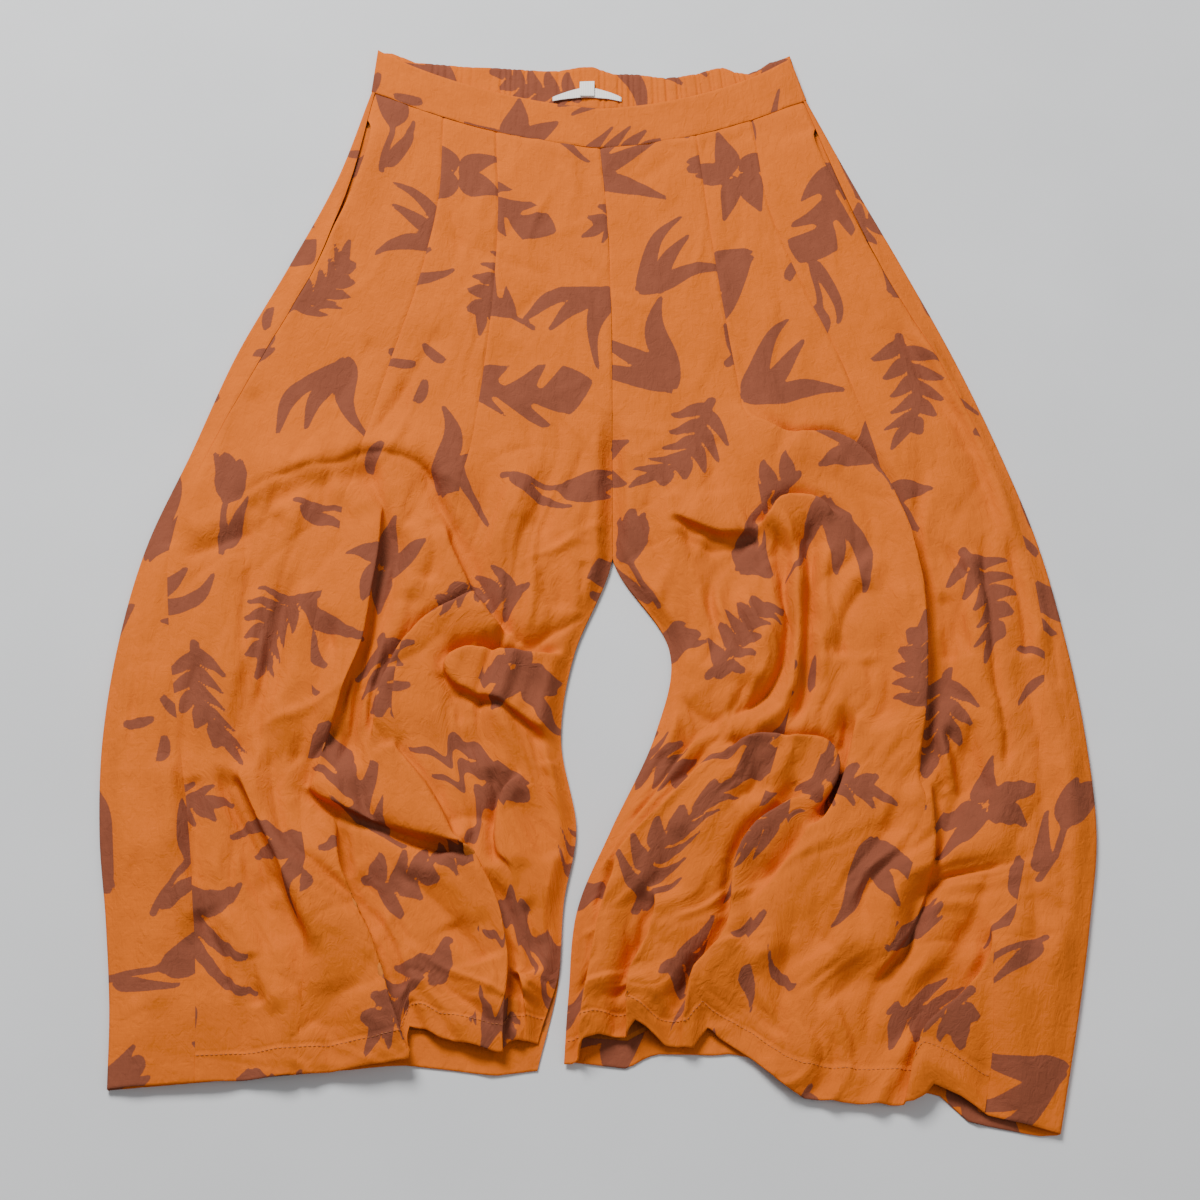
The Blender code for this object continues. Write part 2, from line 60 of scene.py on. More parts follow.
# ---- the garment's own sizes, in metres, +Y towards the waist, wearer's right leg at -X ------------
WALL = 0.0012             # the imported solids' wall
SEAM_GAP = 0.0003
FRONT_TOP = 0.0044        # height of the front's face where the two layers lie together
EDGE_TOP = 0.0027         # height of the front's face where it is sewn to the back
EDGE_ROLL = 0.024         # width over which the front rises from a folded edge
INNER_ROLL = 0.014        # width over which it rises from the inner leg seam
LIE_SOFTNESS = 0.0018     # how softly the front comes down on the back
RAISE_LIMIT = 0.032       # height that no stack of folds passes
LEG_LENGTH = 0.925
HEM_DEPTH = 0.030
HEM_LAYER = 0.0010        # distance between the face and the turned-up layer behind it
CROTCH = 3.3 / 11         # where the legs part, as a share of the way from waist to hem
PARTING = 0.05
MEET = 0.0100             # where the legs' inner edges touch below the crotch
MEET_FROM = 3 / 11        # they touch between these shares of the way from waist to hem
MEET_TO = 5.4 / 11
BAND_WALL = 0.0020
BAND_DEPTH = 0.0435
BACK_BAND_DEPTH = 0.039
BAND_FOOT = 0.0032
BAND_LIFT = 0.0013
BACK_BAND_WALL = 0.0016
BAND_GATHER = 0.0009
HORN = 0.004              # how far the front band's corners stand past its middle
BACK_HORN = 0.0095
LEAN_LEFT = -0.013
LEAN_RIGHT = 0.004
SIDE_CLOSE = 0.08
FACING_REACH = 0.085
FACING_TUCK = 0.004
FACING_FOOT = WALL + SEAM_GAP
GAPE = 0.006
GAPE_SPREAD = 0.04
MOUTH_SPREAD = 0.007
POCKET_START = 0.03
POCKET_END = 0.235
LABEL_SIZE = (0.061, 0.0115)
LABEL_DROP = (0.0115, 0.0045)
LABEL_WALL = 0.0010
LABEL_TOP = 0.5245        # the label's upper edge before the garment is centred
LABEL_X = -0.0115
TAB_SIZE = (0.0130, 0.0170)
TAB_TOP = 0.5302
LABEL_FOOT = BACK_BAND_WALL + BAND_GATHER + SEAM_GAP

Section = namedtuple("Section", "outer_x outer_y inner_x inner_y back_y bow side seam_1 seam_2 loft")

RIGHT_LEG = [
    Section(-.203, .519, .000, .454, .500, .011, .015, .32, .55, .0015),
    Section(-.229, .420, .006, .375, .395, .004, .050, .38, .60, .0030),
    Section(-.266, .325, .009, .290, .298, .000, .085, .41, .64, .0045),
    Section(-.304, .234, .010, .205, .207, .000, .075, .41, .66, .0060),
    Section(-.334, .138, .010, .120, .120, .000, .045, .40, .66, .0085),
    Section(-.363, .049, .0095, .035, .035, .000, .055, .40, .65, .0100),
    Section(-.378, -.038, -.020, -.050, -.050, .000, .115, .42, .65, .0105),
    Section(-.383, -.125, -.030, -.125, -.125, .000, .170, .44, .66, .0110),
    Section(-.378, -.205, -.018, -.200, -.200, .000, .190, .43, .74, .0110),
    Section(-.367, -.275, -.027, -.262, -.262, .000, .195, .43, .79, .0095),
    Section(-.358, -.345, -.031, -.330, -.330, .000, .195, .43, .81, .0075),
    Section(-.354, -.407, -.045, -.397, -.397, .000, .205, .44, .82, .0012),
]
LEFT_LEG = [
    Section(.183, .509, .000, .454, .500, .011, .015, .27, .54, .0015),
    Section(.222, .411, .006, .375, .395, .004, .055, .36, .60, .0030),
    Section(.258, .325, .009, .290, .298, .000, .075, .36, .63, .0045),
    Section(.295, .232, .010, .205, .207, .000, .055, .33, .64, .0060),
    Section(.326, .140, .010, .120, .120, .000, .035, .32, .64, .0085),
    Section(.351, .050, .0105, .035, .035, .000, .035, .33, .64, .0100),
    Section(.366, -.040, .054, -.045, -.045, .000, .060, .37, .69, .0110),
    Section(.374, -.125, .043, -.120, -.120, .000, .110, .39, .70, .0115),
    Section(.375, -.205, .008, -.203, -.203, .000, .140, .38, .71, .0115),
    Section(.364, -.275, -.017, -.268, -.268, .000, .150, .39, .72, .0100),
    Section(.350, -.345, -.023, -.335, -.335, .000, .150, .42, .75, .0080),
    Section(.328, -.440, -.026, -.390, -.390, .000, .150, .45, .78, .0012),
]

# Folds in millimetres. Each runs along a smooth line; left and right are its reach to either side,
# seen from above; height is above or below the lofted front; lean is how far the crest falls over
# to the left (+) or right (-) and then hangs over it; sharp folds are pressed to a line.
Fold = namedtuple("Fold", "points left right height lean sharp")

RIGHT_FOLDS = [
    # across the thigh
    Fold([(-304, 86), (-258, 112), (-213, 126), (-191, 135), (-155, 130), (-131, 109), (-120, 74)],
         24, 10, 6.0, -3, 0),
    Fold([(-288, 70), (-250, 92), (-206, 108), (-172, 112)], 9, 10, -4.0, 0, 0),
    Fold([(-190, 134), (-180, 92), (-170, 57), (-173, 20)], 6, 7, -5.0, 0, 1),
    Fold([(-133, 262), (-150, 222), (-170, 180), (-196, 136)], 9, 10, -3.6, 0, 1),
    Fold([(-252, 126), (-219, 106), (-186, 70)], 11, 12, 4.5, 0, 0),
    # down the middle
    Fold([(-146, 150), (-138, 105), (-124, 72), (-107, 36), (-95, 9), (-87, -11), (-76, -30), (-61, -44),
          (-47, -54)], 9, 6, -8.5, 0, 1),
    Fold([(-128, 70), (-120, 42), (-109, 17), (-98, -8), (-86, -26), (-68, -42)], 7, 18, 6.0, 5, 0),
    Fold([(-10, -16), (-28, -30), (-47, -42), (-55, -54)], 5, 5, -6.0, 0, 1),
    Fold([(-178, 100), (-176, 45), (-181, -3), (-186, -46), (-198, -86), (-206, -120), (-224, -168)],
         6, 34, 6.5, 11, 0),
    Fold([(-163, 70), (-164, 20), (-174, -40), (-187, -105), (-204, -168)], 9, 8, -8.0, 0, 1),
    Fold([(-88, 2), (-112, -11), (-134, -24), (-152, -46), (-166, -76), (-172, -105), (-172, -150)],
         30, 6, 8.0, -9, 0),
    Fold([(-150, 70), (-148, 30), (-152, -10)], 10, 10, 4.0, 0, 0),
    Fold([(-138, 70), (-134, 35), (-140, 5)], 7, 7, -4.0, 0, 1),
    # the flap at the inner knee, round its left end
    Fold([(-24, -58), (-38, -57), (-62, -58), (-88, -55), (-107, -56), (-119, -66), (-114, -81), (-98, -91),
          (-75, -101), (-46, -121), (-24, -144)], 24, 5, 7.0, -7, 0),
    Fold([(-119, -60), (-103, -50), (-78, -52), (-55, -51), (-34, -52)], 6, 4, -9.0, 0, 1),
    Fold([(-121, -72), (-117, -84), (-110, -98), (-105, -121)], 5, 5, -3.5, 0, 1),
    Fold([(-12, 30), (-14, 5), (-15, -18)], 4, 4, -3.0, 0, 1),
    Fold([(-46, -118), (-38, -135), (-36, -152)], 6, 6, -4.0, 0, 1),
    # the twisted pleat over the seam, and the folds it runs into
    Fold([(-160, -132), (-152, -146), (-134, -168), (-115, -195), (-98, -226)], 6, 18, 6.5, 5, 0),
    Fold([(-226, -160), (-211, -179), (-177, -196), (-143, -211), (-112, -224), (-94, -238), (-72, -268)],
         20, 6, 8.0, -9, 0),
    Fold([(-208, -112), (-217, -128), (-223, -146), (-220, -164), (-206, -180)], 6, 7, -8.0, 0, 1),
    Fold([(-184, -156), (-173, -184), (-154, -200), (-135, -214), (-104, -234)], 6, 6, -7.0, 0, 1),
    Fold([(-216, -168), (-204, -184), (-196, -214), (-186, -246)], 7, 7, -7.0, 0, 1),
    Fold([(-204, -180), (-192, -236), (-177, -272), (-163, -310), (-151, -354), (-137, -396), (-124, -440)],
         6, 40, 9.5, 13, 0),
    Fold([(-180, -232), (-165, -272), (-152, -312), (-140, -350)], 8, 8, -6.0, 0, 1),
    Fold([(-107, -204), (-92, -232), (-77, -266), (-70, -299), (-68, -325), (-71, -379), (-71, -430)],
         6, 24, 8.0, 9, 0),
    Fold([(-60, -320), (-54, -368), (-52, -430)], 13, 6, 8.0, -8, 0),
    Fold([(-116, -196), (-95, -193), (-70, -200)], 7, 7, -4.0, 0, 1),
    Fold([(-84, -152), (-78, -180), (-74, -202), (-73, -238)], 6, 8, -7.0, 0, 1),
    Fold([(-56, -160), (-73, -176), (-77, -200), (-72, -224), (-56, -244)], 20, 6, 6.0, -7, 0),
    Fold([(-62, -182), (-44, -200), (-30, -230)], 8, 8, -4.0, 0, 1),
    Fold([(-56, -262), (-48, -300), (-50, -340)], 8, 8, -4.0, 0, 1),
    # the broad outer part
    Fold([(-291, -150), (-280, -183), (-262, -215), (-252, -237), (-244, -268)], 5, 5, -8.0, 0, 1),
    Fold([(-280, -150), (-262, -188), (-245, -226), (-230, -268), (-206, -316)], 14, 5, 8.0, -7, 0),
    Fold([(-310, -160), (-306, -190), (-301, -256)], 5, 5, -3.5, 0, 1),
    Fold([(-330, -140), (-324, -190), (-312, -250), (-300, -300)], 9, 8, 5.5, 0, 0),
    Fold([(-299, -271), (-288, -290), (-278, -309), (-269, -346)], 6, 6, -6.0, 0, 1),
    Fold([(-256, -306), (-247, -350)], 5, 5, -4.0, 0, 1),
    Fold([(-286, -270), (-258, -310), (-230, -356)], 9, 8, 5.0, 0, 0),
    Fold([(-246, 20), (-256, -50), (-269, -110), (-276, -166)], 8, 10, -6.5, 0, 1),
    Fold([(-228, 16), (-238, -50), (-250, -110), (-252, -160)], 9, 9, 5.0, 0, 0),
    Fold([(-213, -16), (-222, -70), (-232, -120), (-234, -160)], 7, 8, -6.0, 0, 1),
    Fold([(-156, -236), (-126, -263), (-99, -298), (-88, -320)], 8, 8, -5.5, 0, 1),
    Fold([(-146, -232), (-116, -256), (-92, -286)], 9, 9, 3.6, 0, 0),
    Fold([(-114, -280), (-92, -320)], 7, 7, -4.0, 0, 1),
    Fold([(-142, 362), (-84, 330), (-34, 312)], 8, 8, -2.0, 0, 1),
    Fold([(-336, 30), (-288, 52), (-252, 76)], 10, 11, -4.4, 0, 1),
    Fold([(-332, 50), (-290, 70), (-262, 92)], 11, 11, 3.0, 0, 0),
    Fold([(-344, 100), (-345, 40)], 5, 5, -3.4, 0, 1),
    Fold([(-310, -50), (-319, -130), (-312, -200)], 12, 12, -3.4, 0, 1),
    Fold([(-334, -196), (-328, -280), (-318, -360)], 12, 12, 3.2, 0, 0),
    Fold([(-346, -220), (-344, -290), (-336, -350)], 9, 9, -3.0, 0, 1),
    Fold([(-238, -290), (-230, -350), (-228, -430)], 12, 12, 3.4, 0, 0),
    Fold([(-262, -330), (-258, -370), (-258, -430)], 9, 9, -3.0, 0, 1),
    Fold([(-200, -330), (-196, -370), (-196, -430)], 9, 9, -3.2, 0, 1),
    Fold([(-62, 190), (-52, 110), (-44, 40)], 9, 9, -2.8, 0, 1),
    Fold([(-86, 150), (-72, 100), (-64, 60)], 10, 10, 2.4, 0, 0),
    Fold([(-34, 60), (-30, 20), (-34, -20)], 8, 8, -3.0, 0, 1),
    Fold([(-290, 200), (-270, 150), (-262, 100)], 10, 10, -3.0, 0, 1),
    Fold([(-190, 250), (-204, 210), (-224, 176)], 10, 10, -2.6, 0, 1),
]
LEFT_FOLDS = [
    # below the band and at the hip
    Fold([(26, 412), (46, 428), (66, 446)], 7, 7, -2.8, 0, 1),
    Fold([(82, 460), (104, 461), (124, 466), (143, 488)], 4, 5, -2.2, 0, 1),
    Fold([(244, 276), (264, 228), (282, 185), (299, 158), (312, 100), (321, 36)], 8, 9, -7.0, 0, 1),
    Fold([(260, 270), (296, 190), (319, 126), (336, 34)], 9, 10, 5.5, 0, 0),
    Fold([(268, 240), (292, 172), (303, 130)], 6, 6, -3.5, 0, 1),
    # the long over-fold from the thigh down
    Fold([(100, 184), (151, 149), (188, 148), (217, 128), (239, 80), (253, 19), (254, -51), (248, -120),
          (230, -204)], 6, 40, 8.5, 10, 0),
    # the pinched tuck
    Fold([(56, 74), (81, 60), (103, 54), (128, 60)], 24, 6, 6.5, -7, 0),
    Fold([(60, 56), (86, 42), (110, 46), (132, 58)], 7, 8, -6.0, 0, 1),
    Fold([(126, 56), (137, 70), (144, 82), (158, 87), (178, 81), (188, 62)], 6, 22, 8.0, 8, 0),
    Fold([(140, 66), (146, 33), (145, 1), (148, -30), (142, -64), (126, -94), (88, -118)],
         5, 6, -13.0, 0, 1),
    Fold([(168, 72), (168, 33), (165, -10), (162, -51), (158, -90), (144, -126)], 6, 5, -12.0, 0, 1),
    Fold([(156, 74), (156, 30), (155, -20), (152, -70), (138, -108), (116, -124)], 6, 6, 6.5, 0, 0),
    Fold([(132, 40), (134, 0), (136, -30), (128, -66), (110, -90)], 12, 12, 4.5, 0, 0),
    Fold([(180, 50), (178, 10), (174, -40), (172, -84)], 7, 10, 5.5, 0, 0),
    Fold([(218, 36), (198, 5), (188, -16), (178, -52)], 12, 8, 4.5, 0, 0),
    Fold([(210, 8), (192, -25), (186, -64)], 7, 8, -6.0, 0, 1),
    Fold([(206, -60), (208, -90), (198, -120)], 7, 7, -4.0, 0, 1),
    # the flap at the knee and the pleats that hang from it
    Fold([(92, -148), (108, -137), (125, -131), (148, -133), (170, -133), (181, -145), (180, -164),
          (169, -182), (152, -198)], 5, 26, 9.5, 9, 0),
    Fold([(188, -100), (190, -135), (185, -154), (177, -170), (155, -196)], 5, 6, -12.0, 0, 1),
    Fold([(202, -96), (194, -126), (189, -150), (176, -188), (156, -217), (138, -242), (116, -280)],
         34, 6, 6.5, -8, 0),
    Fold([(100, -140), (84, -152), (62, -178), (30, -215), (10, -245), (-2, -287), (-8, -325), (-14, -380),
          (-16, -430)], 28, 5, 8.0, -10, 0),
    Fold([(86, -118), (64, -145), (41, -180), (15, -217), (0, -242)], 12, 5, 5.5, -6, 0),
    Fold([(46, -250), (38, -288), (28, -318), (22, -350), (20, -430)], 18, 5, 10.0, -12, 0),
    Fold([(158, -176), (140, -188), (116, -206), (100, -236), (94, -285), (68, -338), (60, -430)],
         22, 5, 10.0, -12, 0),
    Fold([(70, -210), (56, -250), (50, -290)], 8, 8, -5.0, 0, 1),
    Fold([(124, -140), (118, -166), (100, -190)], 7, 7, -4.5, 0, 1),
    Fold([(150, -140), (146, -164), (132, -182)], 7, 7, -4.5, 0, 1),
    Fold([(126, -230), (122, -270), (112, -310)], 9, 9, -5.0, 0, 1),
    # the broad outer part
    Fold([(248, -160), (251, -200), (247, -238), (226, -291), (190, -334)], 5, 24, 7.0, 7, 0),
    Fold([(253, -210), (235, -255), (212, -296), (184, -325), (156, -354)], 9, 9, -6.0, 0, 1),
    Fold([(298, -226), (271, -291), (249, -331), (228, -390)], 7, 9, -6.0, 0, 1),
    Fold([(236, -210), (218, -252), (194, -290), (164, -320)], 12, 12, 4.5, 0, 0),
    Fold([(281, -120), (276, -165), (260, -207), (246, -236)], 8, 8, -6.5, 0, 1),
    Fold([(268, -90), (262, -140), (256, -180)], 9, 9, 3.5, 0, 0),
    Fold([(292, -270), (284, -312), (266, -339), (251, -359), (236, -379), (224, -402), (212, -450)],
         34, 6, 9.5, -13, 0),
    Fold([(270, -278), (262, -320), (250, -356)], 6, 6, -6.0, 0, 1),
    Fold([(256, -322), (230, -357), (206, -378), (176, -388)], 9, 9, -5.5, 0, 1),
    Fold([(300, -300), (290, -350), (280, -400), (276, -450)], 8, 8, -4.5, 0, 1),
    Fold([(312, -250), (306, -310), (300, -370), (300, -450)], 12, 12, 4.0, 0, 0),
    Fold([(147, -270), (133, -339), (126, -380)], 8, 8, -5.0, 0, 1),
    Fold([(309, 60), (306, 20), (308, -20), (307, -71), (312, -129), (306, -165)], 4, 5, -7.0, 0, 1),
    Fold([(326, 60), (331, 10), (334, -33), (332, -62)], 4, 5, -6.0, 0, 1),
    Fold([(272, 50), (290, 10), (283, -26), (289, -64)], 4, 5, -6.0, 0, 1),
    Fold([(292, 40), (294, 0), (296, -60)], 8, 8, 4.0, 0, 0),
    Fold([(271, 0), (272, -64)], 5, 5, -4.5, 0, 1),
    Fold([(252, -124), (257, -150), (262, -176)], 4, 4, -5.0, 0, 1),
    Fold([(258, -122), (264, -150), (270, -176)], 4, 4, 4.0, 0, 0),
    Fold([(266, -120), (272, -148), (280, -176)], 4, 4, -5.0, 0, 1),
    Fold([(284, -114), (286, -146), (296, -180)], 4, 4, -5.0, 0, 1),
    Fold([(352, 10), (356, -40), (356, -90)], 5, 6, -4.0, 0, 1),
    Fold([(50, -138), (36, -162), (16, -178)], 5, 5, -5.0, 0, 1),
    Fold([(56, -90), (84, -114), (106, -98), (113, -74)], 7, 7, -5.0, 0, 1),
    Fold([(60, -60), (88, -70), (110, -50)], 9, 9, 3.0, 0, 0),
    Fold([(330, -50), (337, -140), (330, -230)], 9, 9, -4.4, 0, 1),
    Fold([(306, -80), (305, -160), (296, -240)], 11, 11, 4.0, 0, 0),
    Fold([(346, -150), (348, -220), (340, -290)], 9, 9, -3.6, 0, 1),
    Fold([(322, -230), (322, -290), (314, -340)], 9, 9, -3.6, 0, 1),
    Fold([(188, -240), (170, -310), (164, -390)], 12, 12, 4.0, 0, 0),
    Fold([(210, -310), (196, -350), (192, -400)], 8, 8, -4.0, 0, 1),
    Fold([(70, 200), (60, 130), (56, 84)], 9, 9, -2.8, 0, 1),
    Fold([(216, -30), (219, -110), (206, -180)], 9, 9, -4.0, 0, 1),
    Fold([(232, 10), (234, -50), (230, -110)], 10, 10, 3.4, 0, 0),
    Fold([(96, 150), (92, 120), (96, 90)], 8, 8, -2.6, 0, 1),
    Fold([(150, 130), (172, 122), (196, 116)], 10, 10, 3.0, 0, 0),
]
# How far each place of the hem is drawn up the leg by its folds: (x, rise) in millimetres.
RIGHT_HEM = [(-360, 0), (-250, 3), (-165, 8), (-150, 9), (-145, 20), (-139, 40), (-128, 38), (-117, 30),
             (-98, 24), (-80, 17), (-74, 17), (-66, 26), (-52, 26), (-40, 24)]
RIGHT_BACK_HEM = [(-360, 0), (-250, 6), (-150, 12), (-139, 12), (-105, 7), (-76, 2), (-47, 5)]
LEFT_HEM = [(-30, 2), (-20, 3), (-12, 8), (-6, 20), (4, 26), (22, 28), (28, 30), (33, 40), (40, 36),
            (50, 26), (70, 26), (74, 34), (80, 44), (86, 38), (96, 32), (110, 24), (133, 6), (146, 0),
            (183, 1), (230, 6), (238, 12), (244, 22), (259, 17), (277, 6), (326, 0)]
LEFT_BACK_HEM = [(-30, 5), (20, 6), (30, 14), (40, 20), (83, 25), (95, 28), (150, 24), (225, 18),
                 (243, 18), (264, 0), (312, -3), (328, 0)]

# Sideways drift of the lesser folds on their way down, in millimetres, at even steps waist to hem.
RIGHT_DRIFT = [0, 0, 5, 0, -18, -36, -10, 36, 75]
LEFT_DRIFT = [0, 0, 0, 0, 0, -12, -62, -112, -140]

# The wavy upper edge of the gathered back band: (x, rise) in millimetres.
BACK_EDGE = [(-198, 0), (-187, 4), (-177, 2), (-165, -2), (-150, -1), (-110, 0), (-50, 1), (-36, 3), (-26, 6),
             (-16, 9), (-6, 10), (2, 7), (12, 1), (34, 0), (46, -2), (58, -5), (70, -5), (86, -2), (100, 3),
             (110, 4), (120, -2), (132, -5), (142, -1), (152, 5), (166, 5)]

Leg = namedtuple("Leg", "word side sections folds hem back_hem drift seed")
RIGHT = Leg("right", -1, RIGHT_LEG, RIGHT_FOLDS, RIGHT_HEM, RIGHT_BACK_HEM, RIGHT_DRIFT, 11)
LEFT = Leg("left", 1, LEFT_LEG, LEFT_FOLDS, LEFT_HEM, LEFT_BACK_HEM, LEFT_DRIFT, 23)
LEGS = (RIGHT, LEFT)
GORES = {"side": ("side", "seam_1"), "middle": ("seam_1", "seam_2"), "inner": ("seam_2", "edge")}

FOLD_STEPS = 28
FOLD_FADE = 0.16
STEEP_SPREAD = 0.0056     # how tightly an over-fold's lip turns under
SHALLOW_SPREAD = 0.026
FOOT = 0.6                # depth of the hollow under a lip, as a share of its height
FOOT_OFF = 0.0020         # how far in front of the lip that hollow lies
FOOT_WIDTH = 0.0060
PRESS = 0.0012            # rounding of a sharp fold's line
HEM_REACH = 0.15
# Lesser folds: (distance between them, length, height) in metres, each size on top of the last.
CRUMPLES = [(0.034, 0.18, 0.0125), (0.016, 0.080, 0.0062), (0.0080, 0.034, 0.0022)]
FRONT_CREASES = 600       # random creases in each leg's front
BACK_CREASES = 200
HIP_LOOSE = 0.22          # how crumpled the smooth hip is, as a share of the rest of the leg
HIP_END = 0.27            # where the hip ends, as a share of the way from waist to hem
HIP_FADE = 0.22
SMOOTH_CELL = 1.8         # cells of the smooth hip, as a multiple of the folded part's

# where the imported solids' middle lies in the garment's own frame
_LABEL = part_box("label")
CENTRE = np.array([
    LABEL_X - (_LABEL[0][0] + _LABEL[1][0]) / 2,
    LABEL_TOP - _LABEL[1][1],
    0.0,
])


# ---- plain functions ------------------------------------------------------------------------------
def smooth(x):
    """0 below 0, 1 above 1, and an even S between them."""
    x = np.clip(x, 0.0, 1.0)
    return x * x * (3.0 - 2.0 * x)


def through(values, t):
    """Catmull-Rom curve through evenly spaced values, read at shares t of its length."""
    values = np.asarray(values, dtype=float)
    before = 2 * values[:1] - values[1:2]
    after = 2 * values[-1:] - values[-2:-1]
    knots = np.concatenate([before, values, after])
    place = np.clip(t, 0.0, 1.0) * (len(values) - 1)
    i = np.minimum(place.astype(int), len(values) - 2)
    w = place - i
    a, b, c, d = knots[i], knots[i + 1], knots[i + 2], knots[i + 3]
    return b + 0.5 * w * (c - a + w * (2 * a - 5 * b + 4 * c - d + w * (3 * b - a - 3 * c + d)))


def bell(x):
    """exp(-x squared)."""
    return np.exp(-x * x)


def linear(code):
    """Turns an sRGB hex colour into linear RGB."""
    parts = [int(code[i:i + 2], 16) / 255 for i in (1, 3, 5)]
    return tuple(c / 12.92 if c <= 0.04045 else ((c + 0.055) / 1.055) ** 2.4 for c in parts)


def wobble(x, y, size, seed):
    """Even, smooth unevenness of about -1 to 1: a few sine waves of that size in seeded directions."""
    rng = np.random.default_rng(seed)
    total = np.zeros(np.broadcast(x, y).shape)
    for _ in range(7):
        angle = rng.uniform(0, 2 * math.pi)
        rate = 2 * math.pi / (size * rng.uniform(0.7, 1.5))
        phase = rng.uniform(0, 2 * math.pi)
        total = total + np.sin(rate * (x * math.cos(angle) + y * math.sin(angle)) + phase)
    return total / 3.5


def noise(x, y, seed):
    """Smooth random field of about -1 to 1, with one seeded value at every whole x and y."""
    knots = np.random.default_rng(seed).uniform(-1.0, 1.0, (64, 64))
    i, j = np.floor(x).astype(int), np.floor(y).astype(int)
    u, v = smooth(x - i), smooth(y - j)
    near = knots[i % 64, j % 64] * (1 - u) + knots[(i + 1) % 64, j % 64] * u
    far = knots[i % 64, (j + 1) % 64] * (1 - u) + knots[(i + 1) % 64, (j + 1) % 64] * u
    return near * (1 - v) + far * v


# ---- the legs' surface ----------------------------------------------------------------------------
def look_up(table, place):
    """The table's second value at a place along its first, in straight lines between its points."""
    return np.interp(place * 1000, [p[0] for p in table], [p[1] for p in table]) / 1000


def leg_plan(leg, f, t, layer):
    """Plan position at share f from the outer to the inner edge and share t from waist to hem."""
    column = {name: through([getattr(s, name) for s in leg.sections], t) for name in Section._fields}
    inner_y = column["inner_y"] if layer == "front" else column["back_y"]
    bow = column["bow"] if layer == "front" else 0.0
    touching = np.maximum(leg.side * column["inner_x"], leg.side * MEET + 0.0001)
    inner_x = np.where((t > MEET_FROM) & (t < MEET_TO), leg.side * touching, column["inner_x"])
    x = column["outer_x"] * (1 - f) + inner_x * f
    y = column["outer_y"] * (1 - f) + inner_y * f - bow * 4 * f * (1 - f)
    return x, y


def leg_width(sections, t):
    """Width of the leg at share t from waist to hem."""
    outer = through([s.outer_x for s in sections], t)
    inner = through([s.inner_x for s in sections], t)
    return np.abs(inner - outer)


def seam_share(sections, name, t):
    """The named seam's place, as a share of the way from the outer to the inner edge."""
    if name == "edge":
        return np.ones(np.shape(t))
    return through([getattr(s, name) for s in sections], t)


def fold_form(fold, x, y):
    """Rise and sideways shift of one fold at points x, y.

    With s the distance past the crest, rise = height * bell(s / reach), less a hollow under the
    lip, and shift = lean * bell(s / spread), both faded at the line's ends. The crest starts one
    lean before the line, so that it comes to lie on it.
    """
    share = np.linspace(0.0, 1.0, FOLD_STEPS + 1)
    line = np.stack([through([p[i] / 1000 for p in fold.points], share) for i in (0, 1)], -1)
    slope = np.gradient(line, axis=0)
    slope /= np.linalg.norm(slope, axis=1, keepdims=True)
    left = np.stack([-slope[:, 1], slope[:, 0]], -1)
    lean = abs(fold.lean) / 1000
    reach = 3 * max(fold.left, fold.right) / 1000 + lean
    low, high = line.min(axis=0) - reach, line.max(axis=0) + reach
    near = (x > low[0]) & (x < high[0]) & (y > low[1]) & (y < high[1])
    px, py = x[near], y[near]
    nearest = np.full(px.shape, np.inf)
    signed = np.zeros(px.shape)
    where = np.zeros(px.shape)
    side_x, side_y = np.zeros(px.shape), np.zeros(px.shape)
    for i in range(FOLD_STEPS):
        run = line[i + 1] - line[i]
        along = np.clip(((px - line[i, 0]) * run[0] + (py - line[i, 1]) * run[1]) / run.dot(run), 0, 1)
        off_x = px - line[i, 0] - along * run[0]
        off_y = py - line[i, 1] - along * run[1]
        distance = np.hypot(off_x, off_y)
        closer = distance < nearest
        nearest = np.where(closer, distance, nearest)
        signed = np.where(closer, np.sign(run[0] * off_y - run[1] * off_x) * distance, signed)
        where = np.where(closer, share[i] + along / FOLD_STEPS, where)
        side_x = np.where(closer, left[i, 0] * (1 - along) + left[i + 1, 0] * along, side_x)
        side_y = np.where(closer, left[i, 1] * (1 - along) + left[i + 1, 1] * along, side_y)
    fade = smooth(where / FOLD_FADE) * smooth((1.0 - where) / FOLD_FADE)
    sign = -1.0 if fold.lean < 0 else 1.0
    past = sign * signed + lean * fade
    ahead = fold.left if sign > 0 else fold.right
    behind = fold.right if sign > 0 else fold.left
    reach = np.where(past > 0.0, ahead, behind) / 1000
    if fold.sharp:
        form = np.exp(-(np.sqrt(past ** 2 + PRESS ** 2) - PRESS) / reach)
    else:
        form = bell(past / reach)
    if lean:
        form = form - FOOT * bell((past - lean - FOOT_OFF) / FOOT_WIDTH)
    spread = np.where(past > 0.0, STEEP_SPREAD, SHALLOW_SPREAD)
    shift = sign * lean * fade * bell(past / spread)
    result = np.zeros((3,) + x.shape)
    result[0][near] = shift * side_x
    result[1][near] = shift * side_y
    result[2][near] = fold.height / 1000 * fade * form
    return result


def drifted(leg, x, t):
    """Sideways place of the lesser fold that passes x at share t, where it started at the waist."""
    hold = 1 - 0.9 * smooth((np.abs(x) - 0.22) / 0.13)
    return x - hold * through(leg.drift, t) / 1000


def crumples(p, q, seed):
    """Lesser folds that run on along q: rounded ridges with sharp valleys where a noise crosses 0."""
    total = np.zeros(p.shape)
    p = p + 0.014 * wobble(p, q, 0.13, seed)
    for number, (apart, length, height) in enumerate(CRUMPLES):
        field = noise(p / apart, q / length, seed + number)
        total += height * (np.sqrt(field ** 2 + 0.04 ** 2) - 0.36)
    return total


